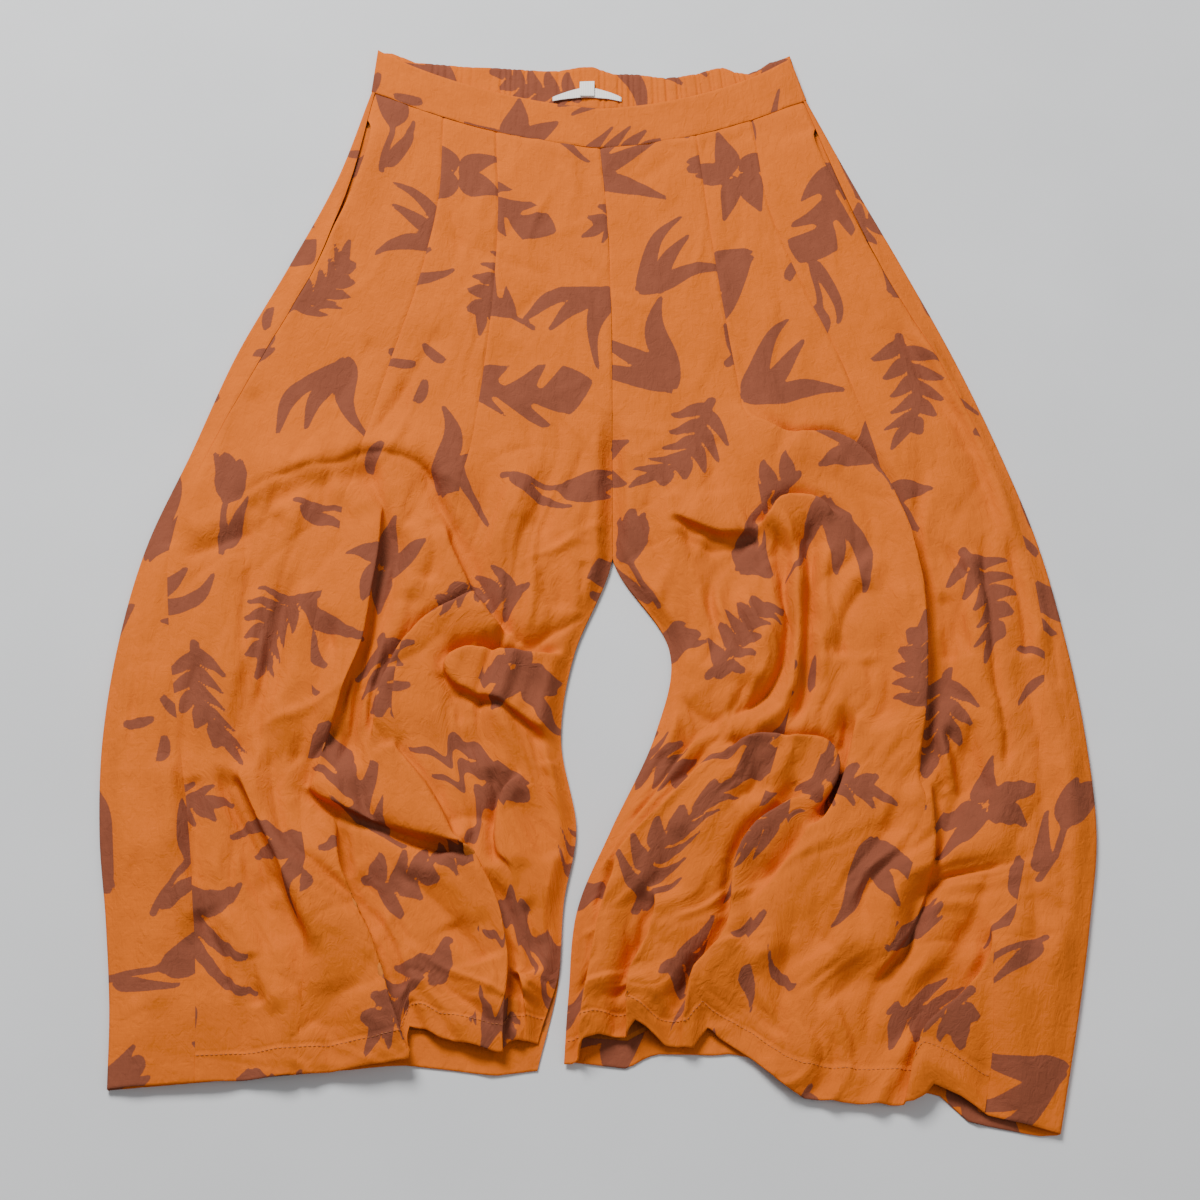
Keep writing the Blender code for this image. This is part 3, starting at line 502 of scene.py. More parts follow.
def creases(p, q, count, seed):
    """Small random creases: each a thin ridge or trough across its bent line, long along q."""
    rng = np.random.default_rng(seed)
    total = np.zeros(p.shape)
    hand = 1.0 if p.mean() > 0 else -1.0
    for _ in range(count):
        centre_p, centre_q = hand * rng.uniform(-0.10, 0.40), rng.uniform(-0.02, 0.96)
        angle = rng.normal(0.5 * math.pi, 0.50)
        length, width = rng.uniform(0.014, 0.050), rng.uniform(0.0030, 0.0070)
        lower = 0.65 + 0.35 * smooth((centre_q - 0.15) / 0.30)
        height = rng.normal(0.0, 0.0011) * float(lower)
        bend = rng.uniform(-7.0, 7.0)
        near = np.hypot(p - centre_p, q - centre_q) < 2.4 * length
        off_p, off_q = p[near] - centre_p, q[near] - centre_q
        along = off_p * math.cos(angle) + off_q * math.sin(angle)
        across = np.abs(off_q * math.cos(angle) - off_p * math.sin(angle) + bend * along ** 2)
        form = bell(across / width) if height > 0 else np.exp(-across / width)
        total[near] += height * bell(along / length) * form
    return total


def hem_rise(table, x, t):
    """How far the hem's folds draw the cloth up the leg: the table's value at x, fading up the leg."""
    return look_up(table, x) * smooth((t - 1 + HEM_REACH) / HEM_REACH)


def front_face(leg, f, t, settings):
    """Outer face of the front: the section's plan and loft, plus every fold's rise and shift."""
    x, y = leg_plan(leg, f, t, "front")
    width = leg_width(leg.sections, t)
    parted = smooth((t - CROTCH) / PARTING)
    from_outer = smooth(f * width / EDGE_ROLL)
    from_inner = smooth((1 - f) * width / INNER_ROLL)
    edge = from_outer * (1 - parted * (1 - from_inner))
    raised = through([s.loft for s in leg.sections], t)
    shift_x, shift_y = np.zeros(x.shape), np.zeros(x.shape)
    for fold in leg.folds:
        form = fold_form(fold, x, y)
        shift_x += form[0]
        shift_y += form[1]
        raised += form[2] * settings.fold_height
    p, q = drifted(leg, x, t), t * LEG_LENGTH + 0.0 * x
    loose = HIP_LOOSE + (1 - HIP_LOOSE) * smooth((t - HIP_END) / HIP_FADE)
    loose = loose * (0.45 + 0.55 * smooth((f - 0.10) / 0.18))
    loose = loose * (0.75 + 0.35 * wobble(x, y, 0.17, leg.seed + 60))
    raised += crumples(p, q, leg.seed + 50) * loose * settings.crumple_height
    raised = 0.5 * (raised + np.sqrt(raised ** 2 + LIE_SOFTNESS ** 2))
    raised = RAISE_LIMIT * np.tanh(raised / RAISE_LIMIT)
    raised += creases(p, q, FRONT_CREASES, leg.seed) * settings.crease_height
    base = FRONT_TOP - (FRONT_TOP - EDGE_TOP) * parted * (1 - from_inner)
    z = np.maximum(base + raised * edge, base)
    return np.stack([x + shift_x * edge, y + shift_y * edge + hem_rise(leg.hem, x, t), z], axis=-1)


# ---- meshes ---------------------------------------------------------------------------------------
def grid_normals(grid):
    """Unit normals of a grid of points, from the differences across and down it."""
    normal = np.cross(np.gradient(grid, axis=1), np.gradient(grid, axis=0))
    return normal / np.maximum(np.linalg.norm(normal, axis=-1, keepdims=True), 1e-12)


def arc_lengths(grid, axis, start):
    """Distance run along one axis of a grid, counted from its line number start."""
    step = np.linalg.norm(np.diff(grid, axis=axis), axis=-1)
    pad = [(0, 0), (0, 0)]
    pad[axis] = (1, 0)
    run = np.cumsum(np.pad(step, pad), axis=axis)
    return run - np.take(run, [start], axis=axis)


def grid_quads(rows, columns, around=False):
    """The faces of a grid; around joins its last column to its first."""
    index = np.arange(rows * columns).reshape(rows, columns)
    after = np.roll(index, -1, axis=1) if around else index[:, 1:]
    index = index if around else index[:, :-1]
    quads = np.stack([index[:-1], after[:-1], after[1:], index[1:]], -1)
    return quads.reshape(-1, 4)


def new_mesh(name, points, faces, materials, uv=None, printed=None):
    """A piece from points and quads, with its flat-cloth coordinates and the print's distance field."""
    mesh = bpy.data.meshes.new(name)
    mesh.vertices.add(len(points))
    mesh.vertices.foreach_set("co", (points - CENTRE).astype(np.float32).ravel())
    count = faces.shape[1]
    mesh.loops.add(faces.size)
    mesh.loops.foreach_set("vertex_index", faces.astype(np.int32).ravel())
    mesh.polygons.add(len(faces))
    mesh.polygons.foreach_set("loop_start", np.arange(0, faces.size, count, dtype=np.int32))
    mesh.polygons.foreach_set("use_smooth", np.ones(len(faces), dtype=bool))
    if uv is not None:
        layer = mesh.uv_layers.new(name="flat_cloth")
        layer.data.foreach_set("uv", uv[faces.ravel()].astype(np.float32).ravel())
    if printed is not None:
        field = mesh.attributes.new("print_edge", "FLOAT", "POINT")
        field.data.foreach_set("value", printed.astype(np.float32))
    mesh.update(calc_edges=True)
    mesh.validate()
    for material in materials:
        mesh.materials.append(material)
    piece = bpy.data.objects.new(name, mesh)
    bpy.context.scene.collection.objects.link(piece)
    return piece


def thin_cloth(name, grid, materials, settings, seed, flip, middle=None):
    """A sheet of cloth from a grid of its outer face, given its thickness inwards by Solidify."""
    rows, columns = grid.shape[:2]
    middle = columns // 2 if middle is None else middle
    across = arc_lengths(grid, 1, middle)
    down = arc_lengths(grid, 0, 0)
    uv = np.stack([across.ravel(), down.ravel()], -1)
    faces = grid_quads(rows, columns)
    if flip:
        faces = faces[:, ::-1]
    printed = print_field(uv, seed)
    piece = new_mesh(name, grid.reshape(-1, 3), faces, materials, uv, printed)
    mesh = piece.data
    used = np.empty(len(mesh.loops), dtype=np.int32)
    mesh.loops.foreach_get("edge_index", used)
    border = np.bincount(used, minlength=len(mesh.edges)) == 1
    mesh.attributes.new("sharp_edge", "BOOLEAN", "EDGE").data.foreach_set("value", border)
    thicken = piece.modifiers.new("cloth", "SOLIDIFY")
    thicken.thickness = settings.thickness
    thicken.offset = -1.0
    thicken.material_offset = 1
    thicken.material_offset_rim = 0
    return piece


def finish_piece(piece):
    """Rides the piece on the root."""
    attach(piece, "root")


# ---- the print ------------------------------------------------------------------------------------
def ellipse(x, y, a, b):
    """About the distance to an ellipse with half axes a and b: negative inside."""
    k = np.hypot(x / a, y / b)
    slope = np.hypot(x / a ** 2, y / b ** 2)
    return k * (k - 1.0) / np.maximum(slope, 1e-6)


def turned(x, y, angle):
    """Coordinates seen from axes turned by that angle."""
    return x * math.cos(angle) + y * math.sin(angle), y * math.cos(angle) - x * math.sin(angle)


def teardrop(x, y, length, width):
    """A drop from its point at 0 to its round end at length: an ellipse that narrows to its start."""
    share = np.clip(x / length, 0.0, 1.0)
    half = width * np.sin(math.pi * share ** 0.62) * 0.5
    inside = np.abs(y) - half
    beyond = np.hypot(np.maximum(np.maximum(-x, x - length), 0.0), y)
    return np.where((x < 0) | (x > length), beyond, inside)


def blossom(x, y):
    """Five broad uneven petals that meet at one point."""
    best = np.full(x.shape, 1.0)
    for k in range(5):
        u, v = turned(x, y, 1.257 * k + 0.16 * (k % 2))
        v = v + (0.3 - 0.6 * (k % 2)) * u ** 2
        best = np.minimum(best, teardrop(u - 0.05, v, 0.40 + 0.05 * (k % 3), 0.20 - 0.03 * (k % 2)))
    return best


def sprig(x, y):
    """A bent stalk with paired leaflets that get smaller towards its tip."""
    y = y + 0.36 * x ** 2
    best = np.hypot(np.maximum(np.abs(x) - 0.44, 0.0), y) - 0.020
    for k in range(5):
        root = -0.36 + 0.170 * k
        length = 0.33 - 0.030 * k
        for hand in (-1, 1):
            u, v = turned(x - root - 0.03 * hand, y * hand, 0.85 - 0.04 * k)
            v = v - 0.5 * u ** 2
            best = np.minimum(best, teardrop(u, v, length, 0.085))
    return np.minimum(best, teardrop(x - 0.40, y, 0.22, 0.08))


def broad_leaf(x, y):
    """A pointed oval leaf with four wide notches that slant in from its edge, on a short stem."""
    leaf = np.maximum(np.hypot(x, y - 0.36) - 0.63, np.hypot(x, y + 0.36) - 0.63)
    for k in range(2):
        for hand in (-1, 1):
            u, v = turned(x + 0.22 - 0.30 * k + 0.05 * hand, y * hand - 0.10, 0.95)
            notch = np.abs(v) - 0.055 - 0.22 * np.clip(u, 0.0, 1.0)
            leaf = np.maximum(leaf, -np.where(u > 0.0, notch, np.hypot(u, v) - 0.055))
    stem = np.hypot(np.maximum(np.abs(x + 0.60) - 0.14, 0.0), y + 0.3 * (x + 0.5) ** 2) - 0.006
    return np.minimum(leaf, stem)


def pods(x, y):
    """Three long curved pods fanned out from one end."""
    best = np.full(x.shape, 1.0)
    for k, turn in enumerate((-0.50, 0.02, 0.52)):
        u, v = turned(x + 0.46, y, turn)
        v = v + 0.30 * (u - 0.3) ** 2 * (1 if k != 1 else -1)
        best = np.minimum(best, teardrop(u, v, 0.90 - 0.12 * (k == 1), 0.15))
    return best


def tulip(x, y):
    """A cup of three lobes on a bent stalk with one long leaf."""
    cup = np.minimum(ellipse(x - 0.24, y, 0.24, 0.07), 1.0)
    for hand in (-1, 1):
        u, v = turned(x - 0.02, y * hand, 0.40)
        cup = np.minimum(cup, teardrop(u, v + 0.3 * u ** 2, 0.44, 0.14))
    v = y + 0.30 * (x + 0.05) ** 2
    stalk = np.hypot(np.maximum(np.abs(x + 0.24) - 0.28, 0.0), v) - 0.006
    u, v = turned(x + 0.44, y, 0.60)
    return np.minimum(np.minimum(cup, stalk), teardrop(u, v + 0.5 * u ** 2, 0.52, 0.09))


def seeds(x, y):
    """A few loose long seeds."""
    best = np.full(x.shape, 1.0)
    for place_x, place_y, turn in ((-0.22, 0.05, 0.4), (0.10, -0.16, 1.7), (0.20, 0.18, 2.6)):
        u, v = turned(x - place_x, y - place_y, turn)
        best = np.minimum(best, ellipse(u, v + 1.2 * u ** 2, 0.12, 0.030))
    return best


MOTIFS = (blossom, pods, sprig, tulip, broad_leaf, pods, tulip, sprig, seeds)


def print_field(uv, seed):
    """Distance in metres to the nearest motif's outline, negative inside it.

    The motifs stand on a jittered staggered lattice, each turned and sized by a seeded draw.
    """
    sizes = bpy.context.scene.trousers_print
    rng = np.random.default_rng(seed)
    field = np.full(len(uv), 0.02)
    low, high = uv.min(axis=0) - sizes.motif, uv.max(axis=0) + sizes.motif
    step_u, step_v = sizes.spacing, sizes.spacing * 0.90
    start = rng.uniform(0.0, 1.0, 2)
    kind = int(rng.integers(0, len(MOTIFS)))
    row = 0
    v = low[1] - start[1] * step_v
    while v < high[1]:
        u = low[0] - start[0] * step_u + 0.5 * step_u * (row % 2)
        while u < high[0]:
            kind = (kind + int(rng.integers(1, 4))) % len(MOTIFS)
            centre = np.array([u, v]) + rng.normal(0.0, 0.10, 2) * step_u
            size = sizes.motif * rng.uniform(0.86, 1.14)
            angle = rng.uniform(0.0, 2 * math.pi)
            bend = rng.uniform(0.5, 1.0)
            near = np.hypot(uv[:, 0] - centre[0], uv[:, 1] - centre[1]) < 0.85 * size
            if near.any():
                x, y = turned(uv[near, 0] - centre[0], uv[near, 1] - centre[1], angle)
                x, y = x / size, y / size
                y = y + 0.055 * bend * np.sin(6.5 * x + 5.0 * bend)
                x = x + 0.045 * bend * np.sin(7.5 * y + 9.0 * bend)
                field[near] = np.minimum(field[near], MOTIFS[kind](x, y) * size - sizes.rounding)
            u += step_u
        v += step_v
        row += 1
    return field


# ---- materials ------------------------------------------------------------------------------------
def add_node(tree, kind, values=None, **settings):
    """Adds a node; values maps an input's name or number to a value or to another node's output."""
    node = tree.nodes.new(kind)
    for key, value in settings.items():
        setattr(node, key, value)
    for key, value in (values or {}).items():
        socket = node.inputs[key]
        if isinstance(value, bpy.types.NodeSocket):
            tree.links.new(value, socket)
        else:
            socket.default_value = value
    return node


def new_material(name):
    """An empty material with a Principled shader and its output."""
    material = bpy.data.materials.get(name)
    if material:
        return material, None, None
    material = bpy.data.materials.new(name)
    material.use_nodes = True
    tree = material.node_tree
    return material, tree, tree.nodes["Principled BSDF"]


def viscose(name, ground, dye, strength, fade):
    """Woven viscose with slubs, printed on one side.

    The name says what it is: soft, matt, slightly uneven yarn. It gives the eye short streaks along
    both threads, a blotchy ground and a faint sheen on slopes; dye is the print and strength how
    much of it comes through.
    """
    material, tree, shader = new_material(name)
    if tree is None:
        return material
    flat = add_node(tree, "ShaderNodeUVMap", uv_map="flat_cloth")
    # millimetres on the flat cloth
    mm = add_node(tree, "ShaderNodeVectorMath", {0: flat.outputs[0], 1: (1000, 1000, 1000)},
                  operation="MULTIPLY")
    # real threads are 0.4 mm apart; they are drawn 1.3 mm apart and 20 mm long to show at all
    streaks = []
    for stretch in ((1 / 1.3, 1 / 20, 1), (1 / 20, 1 / 1.3, 1)):
        place = add_node(tree, "ShaderNodeVectorMath", {0: mm.outputs[0], 1: stretch},
                         operation="MULTIPLY")
        noise = add_node(tree, "ShaderNodeTexNoise",
                         {"Vector": place.outputs[0], "Scale": 1.0, "Detail": 2.0, "Roughness": 0.6})
        streaks.append(noise.outputs["Fac"])
    weave = add_node(tree, "ShaderNodeMath", {0: streaks[0], 1: streaks[1]}, operation="ADD")
    # blotches 40 mm across, where the cloth has faded and creased
    blotch_place = add_node(tree, "ShaderNodeVectorMath", {0: mm.outputs[0], 1: (1 / 40, 1 / 52, 1)},
                            operation="MULTIPLY")
    blotch = add_node(tree, "ShaderNodeTexNoise",
                      {"Vector": blotch_place.outputs[0], "Scale": 1.0, "Detail": 5.0, "Roughness": 0.62})
    tone = add_node(tree, "ShaderNodeMath",
                    {0: weave.outputs[0], 1: 0.34, 2: blotch.outputs["Fac"]}, operation="MULTIPLY_ADD")
    tone = add_node(tree, "ShaderNodeMapRange",
                    {"Value": tone.outputs[0], "From Min": 0.58, "From Max": 1.10, "To Min": 1 - fade,
                     "To Max": 1 + fade})
    # the dye's edge wanders 0.3 mm from thread to thread
    edge = add_node(tree, "ShaderNodeAttribute", attribute_name="print_edge")
    bleed_place = add_node(tree, "ShaderNodeVectorMath", {0: mm.outputs[0], 1: (0.55, 0.55, 1)},
                           operation="MULTIPLY")
    bleed = add_node(tree, "ShaderNodeTexNoise",
                     {"Vector": bleed_place.outputs[0], "Scale": 1.0, "Detail": 1.0})
    wander = add_node(tree, "ShaderNodeMath", {0: bleed.outputs["Fac"], 1: 0.0009, 2: edge.outputs["Fac"]},
                      operation="MULTIPLY_ADD")
    mask = add_node(tree, "ShaderNodeMapRange",
                    {"Value": wander.outputs[0], "From Min": 0.00010, "From Max": 0.00075,
                     "To Min": strength, "To Max": 0.0}, interpolation_type="SMOOTHSTEP")
    mixed = add_node(tree, "ShaderNodeMix", {"Factor": mask.outputs[0]}, data_type="RGBA")
    mixed.inputs[6].default_value = (*ground, 1.0)
    mixed.inputs[7].default_value = (*dye, 1.0)
    toned = add_node(tree, "ShaderNodeVectorMath", {0: mixed.outputs[2], "Scale": tone.outputs[0]},
                     operation="SCALE")
    tree.links.new(toned.outputs[0], shader.inputs["Base Color"])
    # fine crumples 6 mm by 10 mm, half a millimetre high
    crumple_place = add_node(tree, "ShaderNodeVectorMath", {0: mm.outputs[0], 1: (1 / 6, 1 / 10, 1)},
                             operation="MULTIPLY")
    crumple = add_node(tree, "ShaderNodeTexNoise",
                       {"Vector": crumple_place.outputs[0], "Scale": 1.0, "Detail": 3.0,
                        "Roughness": 0.55, "Distortion": 0.8})
    crumpled = add_node(tree, "ShaderNodeBump",
                        {"Height": crumple.outputs["Fac"], "Strength": 0.55, "Distance": 0.0020})
    bump = add_node(tree, "ShaderNodeBump",
                    {"Height": weave.outputs[0], "Strength": 0.35, "Distance": 0.0004,
                     "Normal": crumpled.outputs[0]})
    tree.links.new(bump.outputs[0], shader.inputs["Normal"])
    shader.inputs["Roughness"].default_value = 0.82
    shader.inputs["Specular IOR Level"].default_value = 0.03
    shader.inputs["Sheen Weight"].default_value = 0.0
    shader.inputs["Sheen Roughness"].default_value = 0.55
    shader.inputs["Sheen Tint"].default_value = (*linear("#F2B98A"), 1.0)
    return material


def cloth_materials():
    """The printed face and the paler reverse, where less of the dye has come through."""
    colours = bpy.context.scene.trousers_print
    face = viscose("printed_woven_viscose", colours.ground, colours.motif_colour, 1.0, 0.10)
    reverse = viscose("reverse_of_printed_viscose", colours.reverse_ground, colours.motif_colour, 0.45, 0.08)
    return [face, reverse]


def tape_material():
    """White woven polyester tape: bright, close weave, a little satin."""
    material, tree, shader = new_material("white_woven_tape")
    if tree is None:
        return material
    place = add_node(tree, "ShaderNodeTexCoord")
    # ribs of the tape, 0.8 mm apart
    ribs = add_node(tree, "ShaderNodeTexWave", {"Vector": place.outputs["Object"], "Scale": 200.0,
                                                "Distortion": 1.5, "Detail": 2.0})
    shade = add_node(tree, "ShaderNodeMix", {"Factor": ribs.outputs["Fac"]}, data_type="RGBA")
    shade.inputs[6].default_value = (*linear("#DEDAD2"), 1.0)
    shade.inputs[7].default_value = (*linear("#F3F0EA"), 1.0)
    tree.links.new(shade.outputs[2], shader.inputs["Base Color"])
    bump = add_node(tree, "ShaderNodeBump",
                    {"Height": ribs.outputs["Fac"], "Strength": 0.3, "Distance": 0.0002})
    tree.links.new(bump.outputs[0], shader.inputs["Normal"])
    shader.inputs["Roughness"].default_value = 0.6
    shader.inputs["Sheen Weight"].default_value = 0.1
    return material


def thread_material():
    """Spun polyester sewing thread, dyed to the ground: darker than the cloth, with a soft shine."""
    material, tree, shader = new_material("orange_sewing_thread")
    if tree is None:
        return material
    place = add_node(tree, "ShaderNodeTexCoord")
    twist = add_node(tree, "ShaderNodeTexNoise", {"Vector": place.outputs["Object"], "Scale": 900.0})
    shade = add_node(tree, "ShaderNodeMix", {"Factor": twist.outputs["Fac"]}, data_type="RGBA")
    shade.inputs[6].default_value = (*linear("#8F4C22"), 1.0)
    shade.inputs[7].default_value = (*linear("#C9712F"), 1.0)
    tree.links.new(shade.outputs[2], shader.inputs["Base Color"])
    shader.inputs["Roughness"].default_value = 0.5
    return material


def floor_material():
    """Pale matt studio floor, with a very faint mottle."""
    material, tree, shader = new_material("pale_matt_floor")
    if tree is None:
        return material
    place = add_node(tree, "ShaderNodeTexCoord")
    mottle = add_node(tree, "ShaderNodeTexNoise",
                      {"Vector": place.outputs["Object"], "Scale": 6.0, "Detail": 4.0})
    shade = add_node(tree, "ShaderNodeMix", {"Factor": mottle.outputs["Fac"]}, data_type="RGBA")
    shade.inputs[6].default_value = (*linear("#C9CACB"), 1.0)
    shade.inputs[7].default_value = (*linear("#D6D7D8"), 1.0)
    tree.links.new(shade.outputs[2], shader.inputs["Base Color"])
    shader.inputs["Roughness"].default_value = 0.9
    return material


# ---- the pieces -----------------------------------------------------------------------------------
def row_shares(settings):
    """Shares of the rows from waist to hem: wider apart where the cloth is smooth."""
    fine = np.linspace(0.0, 1.0, 2001)
    pace = (SMOOTH_CELL - (SMOOTH_CELL - 1.0) * smooth((fine - 0.22) / 0.12)) * settings.cell / LEG_LENGTH
    run = np.concatenate([[0.0], np.cumsum(0.5 * (1 / pace[1:] + 1 / pace[:-1]) * np.diff(fine))])
    return np.interp(np.linspace(0.0, run[-1], int(round(run[-1])) + 1), run, fine)[:, None]


def turned_up(grid, side):
    """Adds the hem's turned-up layer: round the edge, and back up behind the face."""
    normal = side * grid_normals(grid)
    step = np.linalg.norm(grid[-1] - grid[-9], axis=-1).mean() / 8
    back = int(round(HEM_DEPTH / step))
    down = grid[-1] - grid[-2]
    down /= np.linalg.norm(down, axis=-1, keepdims=True)
    bend = grid[-1] - 0.5 * HEM_LAYER * normal[-1] + 0.5 * HEM_LAYER * down
    under = (grid - HEM_LAYER * normal)[-1:-1 - back:-1]
    under[..., 2] = np.maximum(under[..., 2], 0.0)
    return np.concatenate([grid, bend[None], under], axis=0)


def pocket_open(t):
    """How far the pocket's mouth stands open: most near the waist, and closed at both ends."""
    share = np.clip((t - POCKET_START) / (POCKET_END - POCKET_START), 0.0, 1.0)
    return 1.25 * np.sin(math.pi * share ** 0.45) * (1 - share) ** 1.5


def front_gore_grid(leg, gore, settings):
    """Grid of one front gore between two seams, its seam edges pressed down and puckered."""
    first, last = GORES[gore]
    t = row_shares(settings)
    width = leg_width(leg.sections, t)
    start = seam_share(leg.sections, first, t) + 0.03 * SEAM_GAP / width
    if gore == "side":
        start = start + MOUTH_SPREAD * pocket_open(t) / width
    end = seam_share(leg.sections, last, t) - 0.03 * SEAM_GAP / width
    cell = settings.cell * (1.3 if gore == "side" else 1.0)
    cells = int(round(((end - start) * width).max() / cell))
    f = start + (end - start) * np.linspace(0.0, 1.0, cells + 1)[None, :]
    tt = np.broadcast_to(t, f.shape)
    grid = front_face(leg, f, tt, settings)
    off_first = (f - start) * width
    off_last = (end - f) * width
    if gore == "side":
        grid[..., 2] += GAPE * pocket_open(t) * (1 - smooth(off_first / GAPE_SPREAD))
    wave = wobble(tt * LEG_LENGTH, 0.0 * f, 0.011, leg.seed + 5)
    groove = 0.0002 + 0.0007 * (1 - smooth((tt - 0.25) / 0.20))
    for off in (off_first, off_last):
        grid[..., 2] -= groove * bell(off / 0.0013)
        grid[..., 2] += 0.00022 * wave * np.exp(-off / 0.007) * (1 - bell(off / 0.003))
    grid[..., 2] -= 0.0011 * bell(tt * LEG_LENGTH / 0.0028)
    line = bell((tt - 1 + HEM_DEPTH / LEG_LENGTH) * LEG_LENGTH / 0.0016)
    in_hem = smooth((tt - 1 + HEM_DEPTH / LEG_LENGTH) * LEG_LENGTH / 0.004)
    rope = wobble(f * width, tt * LEG_LENGTH * 0.6, 0.016, leg.seed + 7)
    grid[..., 2] += in_hem * (0.0005 + 0.0004 * rope) - 0.0004 * line
    return grid


def back_grid(leg, settings):
    """Grid of a back panel: flat on the floor, round the outer edge, and over it to the side seam."""
    t = row_shares(settings)
    width = leg_width(leg.sections, t)
    radius = FRONT_TOP / 2
    near_edge = radius / width
    cells = int(round(width.max() / (3.4 * settings.cell)))
    floor_f = 1 - 0.5 * SEAM_GAP / width
    floor_f = floor_f + (near_edge - floor_f) * np.linspace(0.0, 1.0, cells + 1)[None, :]
    tt = np.broadcast_to(t, floor_f.shape)
    floor_x, floor_y = leg_plan(leg, floor_f, tt, "back")
    edge = smooth((1 - floor_f) * width / 0.02) * smooth(floor_f * width / 0.02)
    lying = np.maximum(creases(floor_x, tt * LEG_LENGTH, BACK_CREASES, leg.seed + 40) + 0.0002
                       + 0.0004 * wobble(floor_x, floor_y, 0.09, leg.seed + 41), 0.0)
    floor_y = floor_y + hem_rise(leg.back_hem, floor_x, tt)
    floor = np.stack([floor_x, floor_y, np.minimum(lying, 0.0016) * edge], -1)

    angle = np.linspace(0.0, math.pi, 9)[None, 1:-1]
    turn_f = near_edge * (1 - np.sin(angle))
    turn_x, turn_y = leg_plan(leg, turn_f, np.broadcast_to(t, turn_f.shape), "front")
    turn_z = np.broadcast_to(radius * (1 - np.cos(angle)), turn_f.shape)
    turn = np.stack([turn_x, turn_y, turn_z], -1)

    wrap_end = seam_share(leg.sections, "side", t) - 0.03 * SEAM_GAP / width
    cells = int(round(((wrap_end - near_edge) * width).max() / (1.3 * settings.cell)))
    wrap_f = near_edge + (wrap_end - near_edge) * np.linspace(0.0, 1.0, cells + 1)[None, :]
    wrap = front_face(leg, wrap_f, np.broadcast_to(t, wrap_f.shape), settings)
    off = (wrap_end - wrap_f) * width
    wrap[..., 2] -= 0.0003 * bell(off / 0.0014) * smooth(wrap_f * width / 0.01)
    return np.concatenate([floor, turn, wrap], axis=1), floor.shape[1] + turn.shape[1]


def pocket_facing_grid(leg):
    """Grid of the pocket's facing, flat between back and front, with a rounded inner edge."""
    t = np.linspace(POCKET_START + 0.004, POCKET_END + 0.030, 86)[:, None]
    width = leg_width(leg.sections, t)
    start = seam_share(leg.sections, "side", t) - FACING_TUCK / width
    down = (t - t[0]) / (t[-1] - t[0])
    reach = FACING_REACH * np.sqrt(np.clip(1 - down ** 4, 0.02, 1.0))
    f = start + (reach / width) * np.linspace(0.0, 1.0, 34)[None, :]
    tt = np.broadcast_to(t, f.shape)
    x, y = leg_plan(leg, f, tt, "front")
    z = FACING_FOOT + WALL - 0.0002 + 0.0002 * wobble(x, y, 0.05, leg.seed + 3)
    return np.stack([x, y, z], -1)


def waist_line(layer, u):
    """Plan of the waist seam for u from -1 (right side) through 0 (centre) to 1 (left side)."""
    t = np.zeros(u.shape)
    right_x, right_y = leg_plan(RIGHT, 1 - np.abs(u), t, layer)
    left_x, left_y = leg_plan(LEFT, 1 - np.abs(u), t, layer)
    return np.where(u < 0, right_x, left_x), np.where(u < 0, right_y, left_y)


def band_plan(layer, u, up, depth):
    """Plan of a band: up from the waist seam, with its corners drawn out and its ends leaning."""
    x, y = waist_line(layer, u)
    lean = np.where(u > 0, LEAN_LEFT, LEAN_RIGHT) * u ** 2
    horn = (HORN if layer == "front" else BACK_HORN) * np.abs(u) ** 10
    return x + lean * up, y + SEAM_GAP + (depth + horn) * up


def band_loop(cells):
    """A flat band's section as a closed loop: share up from the seam, and 0 below to 1 above."""
    top = np.linspace(0.012, 0.988, cells)
    up = np.concatenate([top, [0.997, 1.0, 0.997], top[::-1], [0.003, 0.0, 0.003]])
    high = np.concatenate([np.ones(cells), [0.86, 0.5, 0.14], np.zeros(cells), [0.14, 0.5, 0.86]])
    return up[:, None], high[:, None]


def closed_band(name, points, materials, seed):
    """A band's mesh: its closed section carried along the waist, with both ends closed."""
    grid = np.swapaxes(points, 0, 1)
    rows, columns = grid.shape[:2]
    ends = np.stack([grid[0].mean(axis=0), grid[-1].mean(axis=0)])
    faces = grid_quads(rows, columns, around=True)
    index = np.arange(columns)
    first, last = rows * columns, rows * columns + 1
    after = np.roll(index, -1)
    cap = np.stack([after, index, np.full(columns, first), np.full(columns, first)], -1)
    far = (rows - 1) * columns
    cap_far = np.stack([index + far, after + far, np.full(columns, last), np.full(columns, last)], -1)
    run = arc_lengths(grid, 0, rows // 2)
    around = arc_lengths(grid, 1, 0)
    uv = np.stack([run.ravel(), around.ravel()], -1)
    uv = np.concatenate([uv, uv[:1], uv[-1:]])
    quads = np.concatenate([faces, cap, cap_far])
    mesh_points = np.concatenate([grid.reshape(-1, 3), ends])
    triangles = np.concatenate([quads[:, [0, 1, 2]], quads[:len(faces)][:, [0, 2, 3]]])
    return new_mesh(name, mesh_points, triangles, materials, uv, print_field(uv, seed))


